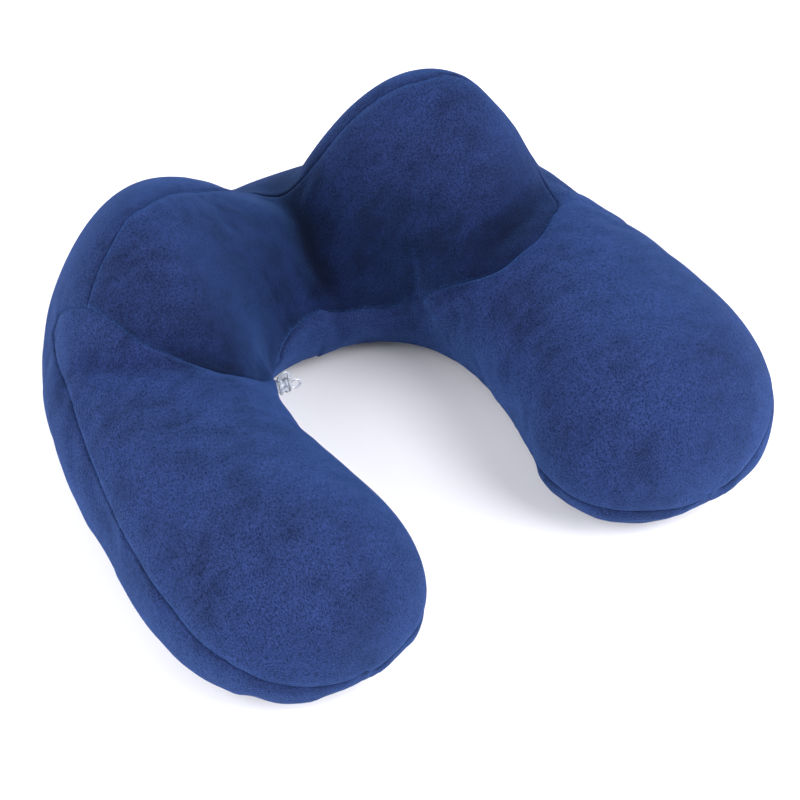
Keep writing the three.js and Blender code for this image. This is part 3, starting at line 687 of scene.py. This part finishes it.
class Look:
    """A material and short ways to add nodes to it."""

    def __init__(self, name, **sockets):
        self.material = bpy.data.materials.new(name)
        self.material.use_nodes = True
        self.tree = self.material.node_tree
        self.shader = self.tree.nodes["Principled BSDF"]
        for socket, value in sockets.items():
            title = socket.replace("_", " ").title().replace("Ior", "IOR")
            self.shader.inputs[title].default_value = value
        self.place = self.node("ShaderNodeTexCoord", {}).outputs["Object"]

    def feed(self, socket, value):
        """Links a node's output to a socket, or sets the socket to a constant."""
        if isinstance(value, bpy.types.NodeSocket):
            self.tree.links.new(value, socket)
        else:
            socket.default_value = value

    def node(self, kind, inputs, **settings):
        made = self.tree.nodes.new(kind)
        for name, value in settings.items():
            setattr(made, name, value)
        for socket, value in inputs.items():
            self.feed(made.inputs[socket], value)
        return made

    def height(self):
        """Height above the underside, in metres."""
        return self.node("ShaderNodeSeparateXYZ", {"Vector": self.place}).outputs["Z"]

    def noise(self, size, detail=2.0, roughness=0.5, stretch=(1, 1, 1)):
        """Noise with features of about this size in millimetres."""
        mapping = self.node("ShaderNodeMapping", {"Vector": self.place, "Scale": stretch})
        return self.node("ShaderNodeTexNoise", {
            "Vector": mapping.outputs["Vector"], "Scale": 1 / (size * MM), "Detail": detail,
            "Roughness": roughness}).outputs["Fac"]

    def wave(self, size, axis, distortion=0.0):
        """Straight bands of this width in millimetres, across an axis."""
        return self.node("ShaderNodeTexWave", {
            "Vector": self.place, "Scale": 1 / (size * MM) / WAVE_BANDS, "Distortion": distortion},
            bands_direction=axis).outputs["Fac"]

    def spread(self, value, low, high, to_low=0.0, to_high=1.0):
        return self.node("ShaderNodeMapRange", {
            "Value": value, "From Min": low, "From Max": high, "To Min": to_low, "To Max": to_high},
            clamp=True).outputs["Result"]

    def mix(self, share, low, high):
        sockets = dict(zip(COLOUR_MIX_SOCKETS, (share, low, high)))
        return self.node("ShaderNodeMix", sockets, data_type="RGBA").outputs[COLOUR_MIX_RESULT]

    def share_of(self, value, most):
        """A value made smaller, so that it reaches only this much."""
        return self.node("ShaderNodeMath", {0: value, 1: most}, operation="MULTIPLY").outputs[0]

    def bump(self, height, depth, strength=1.0, under=None):
        """Bumps of this depth in millimetres, over other bumps if given."""
        below = {} if under is None else {"Normal": under}
        return self.node("ShaderNodeBump", {
            "Height": height, "Distance": depth * MM, "Strength": strength, **below}).outputs["Normal"]

    def finished(self, *sources):
        """The material, once its colour, and its roughness and bump if given, reach the shader."""
        for socket, source in zip(("Base Color", "Roughness", "Normal"), sources):
            self.feed(self.shader.inputs[socket], source)
        return self.material


def colour(red, green, blue):
    """A colour in 0 to 255 screen values, as the shader's linear numbers."""
    screen = [value / 255 for value in (red, green, blue)]
    linear = [v / 12.92 if v < 0.0404 else ((v + 0.055) / 1.055) ** 2.4 for v in screen]
    return (*linear, 1)


# Heights between which a lobe's darkening passes from its first value to its second: the nap's tone, with
# painted shade towards the foot.
LOBE_SLOPE = 148 * MM, 92 * MM


def velour(name, crest_and_foot_darkening):
    """Short-pile velour. The pile leans in patches. Painted shade darkens the hollows, and painted light
    lightens the high places.

    Each panel is cut with its nap another way, so its darkening, from 0 to 1, makes the whole of it
    darker. The first value holds at the crest of the lobes and the second from their foot down. Where
    the second is larger, as on the lobe front, the extra darkening is painted shade towards the foot.
    """
    look = Look(name, roughness=0.85, sheen_weight=0.4, sheen_roughness=0.35, specular_ior_level=0.1)
    look.shader.inputs["Sheen Tint"].default_value = colour(96, 150, 246)
    hollow = look.node("ShaderNodeAttribute", {}, attribute_name="hollow").outputs["Fac"]
    # Painted shade and light: the first mask darkens the hollows, the second lightens the high places.
    painted_hollow_shade = look.spread(hollow, -1.5, 4.5)
    high = look.spread(hollow, -6, -1, 1, 0)
    patches = look.spread(look.noise(36, 2, 0.5), 0.38, 0.62)
    strokes = look.spread(look.noise(15, 3, 0.55, (1, 1.7, 1)), 0.36, 0.64)
    pile = look.spread(look.noise(0.95, 3, 0.8, (1.3, 0.6, 1)), 0.38, 0.62)
    fibre = look.noise(0.45, 1, 0.6)
    nap = look.mix(patches, colour(9, 18, 50), colour(29, 44, 92))
    stroked = look.mix(look.share_of(strokes, 0.6), nap, colour(42, 58, 112))
    # Painted light: the high places are lightened towards a lit blue.
    painted_light_or_metal_wear = look.mix(look.share_of(high, 0.35), stroked, colour(50, 70, 124))
    # The nap's darker tone. On the lobe front it grows towards the foot as painted shade.
    away = look.mix(strokes, colour(0, 8, 36), colour(5, 20, 60))
    nap_and_foot_shade = look.spread(look.height(), *LOBE_SLOPE, *crest_and_foot_darkening)
    nap_and_shade_darkened = look.mix(nap_and_foot_shade, painted_light_or_metal_wear, away)
    # Painted shade: the hollows are darkened towards a near-black blue.
    shaded = look.mix(painted_hollow_shade, nap_and_shade_darkened, colour(0, 5, 25))
    grain = look.mix(look.share_of(pile, 0.78), shaded, colour(0, 8, 30))
    return look.finished(grain, look.spread(pile, 0, 1, 0.78, 0.96),
                         look.bump(fibre, 0.3, 0.7, look.bump(pile, 0.6, 0.6)))


def woven_tape():
    """Zip tape: a fine twill with a soft rib along its length."""
    look = Look("woven_tape", roughness=0.8, sheen_weight=0.2, sheen_roughness=0.5)
    twill = look.share_of(look.wave(0.55, "X"), look.wave(0.55, "Y"))
    return look.finished(look.mix(twill, colour(20, 30, 66), colour(38, 52, 100)),
                         look.spread(look.noise(3), 0.3, 0.7, 0.7, 0.9), look.bump(twill, 0.15, 0.8))


def nylon():
    """The zip's coil: drawn nylon, a little glossy and scuffed."""
    look = Look("nylon_coil", roughness=0.4, coat_weight=0.2, coat_roughness=0.3)
    scuffs = look.spread(look.noise(1.5, 4, 0.7), 0.45, 0.7)
    return look.finished(look.mix(scuffs, colour(24, 34, 74), colour(50, 62, 108)),
                         look.spread(scuffs, 0, 1, 0.32, 0.6), look.bump(look.noise(0.4, 3), 0.04, 0.5))


def plated_metal():
    """Plated zinc with fine brushing and dull rubbed edges."""
    look = Look("plated_metal", metallic=1.0, roughness=0.3)
    painted_light_or_metal_wear = look.spread(look.noise(2.2, 5, 0.65), 0.4, 0.7)
    return look.finished(look.mix(painted_light_or_metal_wear, colour(176, 178, 182), colour(128, 130, 136)),
                         look.spread(look.noise(0.6, 3, 0.6, (1, 6, 1)), 0.3, 0.7, 0.22, 0.45),
                         look.bump(look.noise(0.35, 3, 0.6, (1, 8, 1)), 0.02, 0.4))


def clear_vinyl():
    """The valve: soft clear PVC, faintly milky, with moulding ripples."""
    look = Look("clear_vinyl", roughness=0.12, ior=1.52, transmission_weight=0.8, coat_weight=0.3,
                coat_roughness=0.1)
    milk = look.spread(look.noise(3, 3), 0.3, 0.7)
    return look.finished(look.mix(milk, colour(226, 233, 244), colour(246, 249, 253)),
                         look.spread(look.noise(1.2, 3), 0.3, 0.7, 0.1, 0.24),
                         look.bump(look.noise(1.6, 2), 0.08, 0.4))


def bladder_film():
    """The bladder: thin frosted vinyl film with soft handling creases."""
    look = Look("bladder_film", roughness=0.3, ior=1.5, transmission_weight=0.35)
    creases = look.noise(9, 5, 0.6)
    frosted = look.spread(creases, 0.4, 0.6)
    return look.finished(look.mix(frosted, colour(176, 188, 206), colour(208, 216, 228)),
                         look.spread(look.noise(2.5, 3), 0.3, 0.7, 0.22, 0.42),
                         look.bump(creases, 0.6, 0.5))


def sewing_thread():
    """Twisted polyester thread, a little lighter than the velour."""
    look = Look("sewing_thread", roughness=0.6, sheen_weight=0.3, sheen_roughness=0.4)
    twist = look.wave(0.5, "DIAGONAL", 0.5)
    return look.finished(look.mix(twist, colour(30, 42, 86), colour(56, 70, 122)),
                         look.spread(twist, 0, 1, 0.5, 0.7), look.bump(twist, 0.08, 0.7))


def studio_floor():
    look = Look("studio_floor", roughness=0.65, specular_ior_level=0.2)
    return look.finished(look.mix(look.noise(220, 2), colour(240, 240, 246), colour(246, 246, 250)))


def paint(piece, material):
    """Gives a piece its material, whatever it had."""
    piece.data.materials.clear()
    piece.data.materials.append(material)


# ---- cover and bladder ----

# Each panel's outline, its CAD node, how dark its nap, with painted shade towards a lobe's foot, makes it
# above and below, the width and length of the cloth it is cut from, its area when flat, and the bladder
# skins that it is stretched over.
ARM_FILMS = ["film_arm_left", "film_arm_right"]
PANELS = {
    "velour_top_panel": ("top", "cover_top_panel", (0, 0), (400, 420), 94500, ARM_FILMS),
    "velour_outer_band": ("band", "cover_outer_band", (0.15, 0.15), (1020, 170), 105000,
                          ["film_lobes", *ARM_FILMS]),
    "velour_lobe_front": ("lobe_front", "cover_lobe_front_panel", (0.15, 0.8), (360, 170), 41000,
                          ["film_lobes"]),
    "velour_underside": ("bottom", "cover_bottom_panel", (0.2, 0.2), (370, 360), 88500,
                         ["film_underside"]),
}


def make_cover():
    """The four sewn panels of the cover, cut from one blown-up surface."""
    share, angle, gaps = cover_grid()
    points, normals = blown_cover(share, angle, gaps)
    rows, columns = share.shape
    faces = panel_faces(gaps, rows, columns)
    hollows = hollowness(points, normals).reshape(-1)
    for name, (panel, node, nap_and_foot_shade, flat, area, inside) in PANELS.items():
        piece = mesh_object(name, points.reshape(-1, 3), faces[panel], hollows)
        with mesh_edits(piece) as bm:
            turn_in(bm, [e for e in bm.edges if e.is_boundary], SEAM_ALLOWANCE)
            if panel == "bottom":
                cut_slot(bm, *zip_slot())
            if panel == "top":
                cut_round_hole(bm, Axis(), STEM_HOLE_RADIUS)
        finish_piece(piece, "pillow", velour(name, nap_and_foot_shade), "velour", node)
    return points, normals


BLADDER_DEPTH, BLADDER_BLUR = 8.5, 3
BLADDER_STRIDE = 4
WELD_WIDTH = 3.5
BLADDER_LOBE_SHARE = 0.55
# Each film's CAD node, the width and length that it is cut from, its area when flat, and what holds it.
FILMS = {
    "film_underside": ("bladder_bottom_skin", (390, 380), 116000, ["velour_underside"]),
    "film_lobes": ("bladder_lobe_skin", (400, 300), 82600, ["film_underside"]),
    "film_arm_left": ("bladder_arm_skin_left", (200, 220), 34500, ["film_underside"]),
    "film_arm_right": ("bladder_arm_skin_right", (200, 220), 34500, ["film_underside"]),
}


def film_sheet(name, points, normals, first, last):
    """One welded skin of the bladder over a run of columns, with its weld flanges."""
    picked = np.arange(first, last + 1) % points.shape[1]
    strip, flange = points[:, picked], normals[:, picked] * WELD_WIDTH
    strip = np.concatenate([strip[:, :1] + flange[:, :1], strip, strip[:, -1:] + flange[:, -1:]], axis=1)
    piece = mesh_object(name, strip.reshape(-1, 3), grid_faces(*strip.shape[:2], columns_close=False))
    with mesh_edits(piece) as bm:
        cut_round_hole(bm, Axis(), STEM_HOLE_RADIUS)
    return piece


def make_bladder(points, normals, material):
    """The bladder inside the cover: a lower skin and three upper ones, welded edge to edge."""
    every = slice(None, None, BLADDER_STRIDE)
    shares = grid_shares()[every]
    film = (smooth_grid(points, BLADDER_BLUR) - normals * BLADDER_DEPTH)[every, every]
    out = normals[every, every]
    half = film.shape[1] // 2
    end = len(shares) - 1
    middle = np.nonzero(np.abs(shares) <= BLADDER_LOBE_SHARE)[0]
    spans = {
        "film_underside": (1, end, half, 2 * half),
        "film_lobes": (middle[0], middle[-1] + 1, 0, half),
        "film_arm_left": (1, middle[0] + 1, 0, half),
        "film_arm_right": (middle[-1], end, 0, half),
    }
    for name, (start, stop, first, last) in spans.items():
        node, flat, area, held_by = FILMS[name]
        piece = film_sheet(name, film[start:stop], out[start:stop], first, last)
        finish_piece(piece, "pillow", material, "film", node)


# ---- valve ----

STEM_RADIUS, BORE_RADIUS = 3.7, 2.75
STEM_PROUD, VALVE_FADE = 7, 26
LIP_RADIUS, LIP_LENGTH, LIP_TAPER = 4.4, 1.3, 0.6
FOOT_RADIUS, FOOT_LENGTH, FOOT_TAPER = 5.0, 1.2, 0.3
FLANGE_BORE, FLANGE_RADIUS, FLANGE_EDGE, FLANGE_RISE_RADIUS = 4.1, 9, 0.7, 6
FLAP_RADIUS = 4.2
# A turned piece that is closed at its middle starts this far from its axis.
NEARLY_ZERO = 0.02
KNOB_RADIUS, KNOB_EDGE, KNOB_HEIGHT, KNOB_TOP_RADIUS, KNOB_GAP = 4.1, 1.0, 1.6, 3.0, 0.3
SPIGOT_RADIUS, SPIGOT_END_RADIUS, SPIGOT_LENGTH, SPIGOT_TAPER = 2.3, 1.9, 5, 1
RING_RADIUS, RING_WIRE, RING_SUNK = 3.1, 0.75, 0.3
COLLAR_BORE, COLLAR_RADIUS, COLLAR_LENGTH = 4.0, 5.3, 1.4
TONGUE_RADIUS, TONGUE_FLATNESS = 1.1, 0.42
# The strap's middle line, as (up from the axis, out from the collar's inner face).
TONGUE_BEND = [(4.7, 0.7), (7.6, 1.0), (9.4, 3.2), (9.0, 5.2), (7.2, 6.0), (KNOB_RADIUS + 0.7, 6.1)]


class Axis:
    """The valve's own axis, from its flange inside the bladder out through its plug."""

    def __init__(self):
        self.origin, outer = (sum(node_box(node)) / 2 for node in ("valve_flange", "valve_plug"))
        outward = outer - self.origin
        outward[2] = 0
        self.out = outward / np.linalg.norm(outward)
        self.up = np.array([0.0, 0.0, 1.0])
        self.side = np.cross(self.up, self.out)

    def reach(self, node):
        """How far out along the axis a CAD node starts and ends."""
        along = (mesh_points(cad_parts[node].data) - self.origin) @ self.out
        return along.min(), along.max()

    def split(self, spots):
        """How far out along the axis each spot is, and how far it is from the axis."""
        away = spots - self.origin
        along = away @ self.out
        return along, np.linalg.norm(away - along[..., None] * self.out, axis=-1)

    def is_near(self, spot, radius):
        along, aside = self.split(np.array(spot))
        return aside < radius and abs(along) < VALVE_FADE

    def edges_near(self, bm, radius):
        return [e for e in bm.edges if all(self.is_near(v.co / MM, radius) for v in e.verts)]

    def place(self, sideways, up, out):
        ways = ((sideways, self.side), (up, self.up), (out, self.out))
        return self.origin + sum(np.multiply.outer(reach, way) for reach, way in ways)


ROUND = 48


def turned(name, axis, corners, rounding=0.3):
    """A round piece on an axis. The corners are (radius, distance out) pairs in a closed loop."""
    outline = np.array(rounded_loop(corners, rounding))
    turn = np.linspace(0, 2 * math.pi, ROUND, endpoint=False)
    radius, out = outline[:, 0][:, None], outline[:, 1][:, None]
    spots = axis.place(radius * np.cos(turn), radius * np.sin(turn), out + 0 * turn)
    return mesh_object(name, spots.reshape(-1, 3), rod_faces(len(outline), ROUND, closed=True))


def rounded_loop(points, radius, steps=3):
    """A closed outline with its corners rounded."""
    points = np.array(points, float)
    result = []
    for before, corner, after in zip(np.roll(points, 1, axis=0), points, np.roll(points, -1, axis=0)):
        start = corner + (before - corner) * min(radius / np.linalg.norm(before - corner), 0.5)
        end = corner + (after - corner) * min(radius / np.linalg.norm(after - corner), 0.5)
        for t in np.linspace(0, 1, steps + 1):
            result.append((1 - t) ** 2 * start + 2 * t * (1 - t) * corner + t**2 * end)
    return result


def tube(name, path, radius, across, sides=10, closed=False, flat=1.0):
    """A bent rod along a path, squeezed by flat along the axis given by across."""
    path = np.array(path, float)
    ahead = np.roll(path, -1, axis=0) - np.roll(path, 1, axis=0)
    if not closed:
        ahead[0], ahead[-1] = path[1] - path[0], path[-1] - path[-2]
    ahead /= np.linalg.norm(ahead, axis=1, keepdims=True)
    first = np.cross(ahead, across)
    first /= np.linalg.norm(first, axis=1, keepdims=True)
    second = np.cross(ahead, first)
    turn = np.linspace(0, 2 * math.pi, sides, endpoint=False)[:, None, None]
    spots = path + radius * (np.cos(turn) * first + flat * np.sin(turn) * second)
    return mesh_object(name, spots.transpose(1, 0, 2).reshape(-1, 3), rod_faces(len(path), sides, closed))


def finish_piece(piece, body, material, slot, *nodes):
    paint(piece, material)
    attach(piece, body)
    if nodes:
        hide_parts(*nodes)


def join_pieces(pieces, name):
    """Several mesh objects made one, under a new name."""
    bm = bmesh.new()
    for piece in pieces:
        bm.from_mesh(piece.data)
        bpy.data.objects.remove(piece)
    mesh = bpy.data.meshes.new(name)
    bm.to_mesh(mesh)
    bm.free()
    mesh.shade_smooth()
    return link_object(name, mesh)


def make_valve(material):
    """The valve: stem with its lip, inner flange, flap, stopper with its finger ring, and strap."""
    axis = Axis()

    def finish(piece, body, node):
        finish_piece(piece, body, material, "valve_plastic", node)

    inner, outer = axis.reach("valve_stem")
    lip = outer - LIP_LENGTH
    corners = [(BORE_RADIUS, inner), (FOOT_RADIUS, inner), (FOOT_RADIUS, inner + FOOT_LENGTH),
               (STEM_RADIUS, inner + FOOT_LENGTH + FOOT_TAPER), (STEM_RADIUS, lip - LIP_TAPER),
               (LIP_RADIUS, lip), (LIP_RADIUS, outer), (BORE_RADIUS, outer)]
    finish(turned("valve_tube", axis, corners), "pillow", "valve_stem")
    low, high = axis.reach("valve_flange")
    corners = [(FLANGE_BORE, low), (FLANGE_RADIUS, low), (FLANGE_RADIUS, low + FLANGE_EDGE),
               (FLANGE_RISE_RADIUS, high), (FLANGE_BORE, high)]
    finish(turned("valve_weld_ring", axis, corners, 0.25), "pillow", "valve_flange")
    low, high = axis.reach("valve_flap")
    corners = [(NEARLY_ZERO, low), (FLAP_RADIUS, low), (FLAP_RADIUS, high), (NEARLY_ZERO, high)]
    finish(turned("valve_soft_flap", axis, corners, 0.2), "valve_flap", "valve_flap")
    finish(stopper(axis, outer + KNOB_GAP), "valve_plug", "valve_plug")
    finish(strap(axis, axis.reach("valve_tether")[0]), "pillow", "valve_tether")


def stopper(axis, face):
    """A spigot, a knob that sits on the stem's end, and a finger ring."""
    top, end = face + KNOB_HEIGHT, face - SPIGOT_LENGTH
    knob = turned("knob", axis, [
        (NEARLY_ZERO, end), (SPIGOT_END_RADIUS, end), (SPIGOT_RADIUS, end + SPIGOT_TAPER),
        (SPIGOT_RADIUS, face), (KNOB_RADIUS, face), (KNOB_RADIUS, face + KNOB_EDGE),
        (KNOB_TOP_RADIUS, top), (NEARLY_ZERO, top)])
    turn = np.linspace(0, 2 * math.pi, ROUND, endpoint=False)
    centre = top + RING_RADIUS - RING_SUNK
    path = axis.place(0 * turn, RING_RADIUS * np.sin(turn), centre + RING_RADIUS * np.cos(turn))
    return join_pieces([knob, tube("ring", path, RING_WIRE, axis.side, closed=True)], "valve_stopper")


def strap(axis, low):
    """A collar round the stem and a tongue that bends over to the stopper's knob."""
    high = low + COLLAR_LENGTH
    collar = turned("collar", axis, [
        (COLLAR_BORE, low), (COLLAR_RADIUS, low), (COLLAR_RADIUS, high), (COLLAR_BORE, high)])
    up, out = rounded(np.array(TONGUE_BEND) + (0, low), 6).T
    tongue = tube("tongue", axis.place(0 * up, up, out), TONGUE_RADIUS, axis.side, flat=TONGUE_FLATNESS)
    return join_pieces([collar, tongue], "valve_strap")


# ---- zip ----

COIL_PITCH, COIL_WIRE = 1.5, 0.32
STITCH_LENGTH, STITCH_GAP, STITCH_WIRE, STITCH_INSET = 2.6, 1.2, 0.28, 2
STITCH_SIDES = 6
# A stitch's middle line, as shares of its length and of the thread's radius above the cloth.
STITCH_REACH = np.array([0, 0.2, 0.5, 0.8, 1])
STITCH_LIFT = np.array([0.8, -0.5, -0.8, -0.5, 0.8])
COIL_SIDES, COIL_STEPS = 6, 14
TAPE_ROWS = 120
# A tape's section, as shares of its width from the coil outwards and of its half thickness.
TAPE_ACROSS = np.array([0, 0.04, 0.1, 0.2, 0.35, 0.6, 0.85, 1.0])
TAPE_THICKNESS = np.array([0.7, 1.0, 1.0, 0.8, 0.62, 0.6, 0.6, 0.45])


def make_zip_tape(word, side, material):
    """One tape: a woven strip with a beaded edge beside the coil."""
    node = f"zip_tape_{word}"
    low, high = node_box(node)
    near, far = (high[1], low[1]) if side < 0 else (low[1], high[1])
    level, half = (low[2] + high[2]) / 2, (high[2] - low[2]) / 2
    section = [(near + (far - near) * a, b * half) for a, b in zip(TAPE_ACROSS, TAPE_THICKNESS)]
    ring = section + [(y, -z) for y, z in reversed(section)]
    spots = np.array([[(x, y, level + z) for y, z in ring] for x in np.linspace(low[0], high[0], TAPE_ROWS)])
    faces = [face[::-side] for face in rod_faces(TAPE_ROWS, len(ring))]
    piece = mesh_object(f"woven_tape_{word}", spots.reshape(-1, 3), faces)
    finish_piece(piece, "pillow", material, "zip_tape", node)


def make_zip_coil(word, side, material):
    """One row of teeth: a nylon coil along the tape's edge."""
    node = f"zip_teeth_{word}"
    low, high = node_box(node)
    turns = (high[0] - low[0]) / COIL_PITCH
    turn = np.linspace(0, 2 * math.pi * turns, int(turns * COIL_STEPS))
    wide = (high[1] - low[1]) / 2 - COIL_WIRE
    tall = (high[2] - low[2]) / 2 - COIL_WIRE
    path = np.stack([np.linspace(low[0] + COIL_WIRE, high[0] - COIL_WIRE, len(turn)),
                     (low[1] + high[1]) / 2 + wide * np.cos(turn) * side,
                     (low[2] + high[2]) / 2 + tall * np.sin(turn)], -1)
    piece = tube(f"nylon_coil_{word}", path, COIL_WIRE, sides=COIL_SIDES, across=(1, 0, 0))
    finish_piece(piece, "pillow", material, "zip_teeth", node)


def make_zip_stitches(material):
    """Two rows of stitches that hold the tapes to the fly."""
    (low_x, low_y), (high_x, high_y) = zip_slot()
    level, stitches = fly_level(), []
    for y in (low_y - STITCH_INSET, high_y + STITCH_INSET):
        for start in np.arange(low_x, high_x - STITCH_LENGTH, STITCH_LENGTH + STITCH_GAP):
            reach = start + STITCH_LENGTH * STITCH_REACH
            path = np.stack([reach, np.full_like(reach, y), level + STITCH_WIRE * STITCH_LIFT], -1)
            stitches.append(tube("stitch", path, STITCH_WIRE, sides=STITCH_SIDES, across=(0, 1, 0)))
    finish_piece(join_pieces(stitches, "zip_stitches"), "pillow", material, "velour")


def make_zip(tape, coil, metal, thread):
    """The tapes, coils and stitches. The stops, slider and pull stay as in the frame, in metal."""
    make_zip_stitches(thread)
    for word, side in (("front", -1), ("rear", 1)):
        make_zip_tape(word, side, tape)
        make_zip_coil(word, side, coil)
    for node in ("top_stop_front", "top_stop_rear", "bottom_stop", "slider", "pull"):
        paint(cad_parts[f"zip_{node}"], metal)


# ---- floor and light ----

FLOOR_HALF, FLOOR_GAP = 3000, 0.1
SKY_COLOUR, SKY_STRENGTH = (250, 250, 255), 0.42
LAMPS = (
    # name, azimuth, elevation, distance in mm, size in mm, power in watts
    ("left", -85, 32, 1700, 1300, 38),
    ("back", -130, 48, 1700, 1300, 7),
    ("right", 80, 32, 1700, 1300, 6.5),
    ("front", 35, 38, 1700, 1300, 51),
)


def make_stage(material):
    corners = [(-1, -1), (1, -1), (1, 1), (-1, 1)]
    spots = [(x * FLOOR_HALF, y * FLOOR_HALF, -FLOOR_GAP) for x, y in corners]
    floor = mesh_object("floor", spots, [[0, 1, 2, 3]])
    paint(floor, material)
    world = bpy.data.worlds.new("studio")
    world.use_nodes = True
    sky = world.node_tree.nodes["Background"].inputs
    sky["Color"].default_value = colour(*SKY_COLOUR)
    sky["Strength"].default_value = SKY_STRENGTH
    scene.world = world
    for name, azimuth, elevation, distance, size, power in LAMPS:
        data = bpy.data.lights.new(name, "AREA")
        data.size = size * MM
        data.energy = power
        aim(link_object(name, data), direction(azimuth, elevation), distance)


# ---- the whole pillow ----

make_camera()
cover_points, cover_normals = make_cover()
make_bladder(cover_points, cover_normals, bladder_film())
make_valve(clear_vinyl())
make_zip(woven_tape(), nylon(), plated_metal(), sewing_thread())
make_stage(studio_floor())
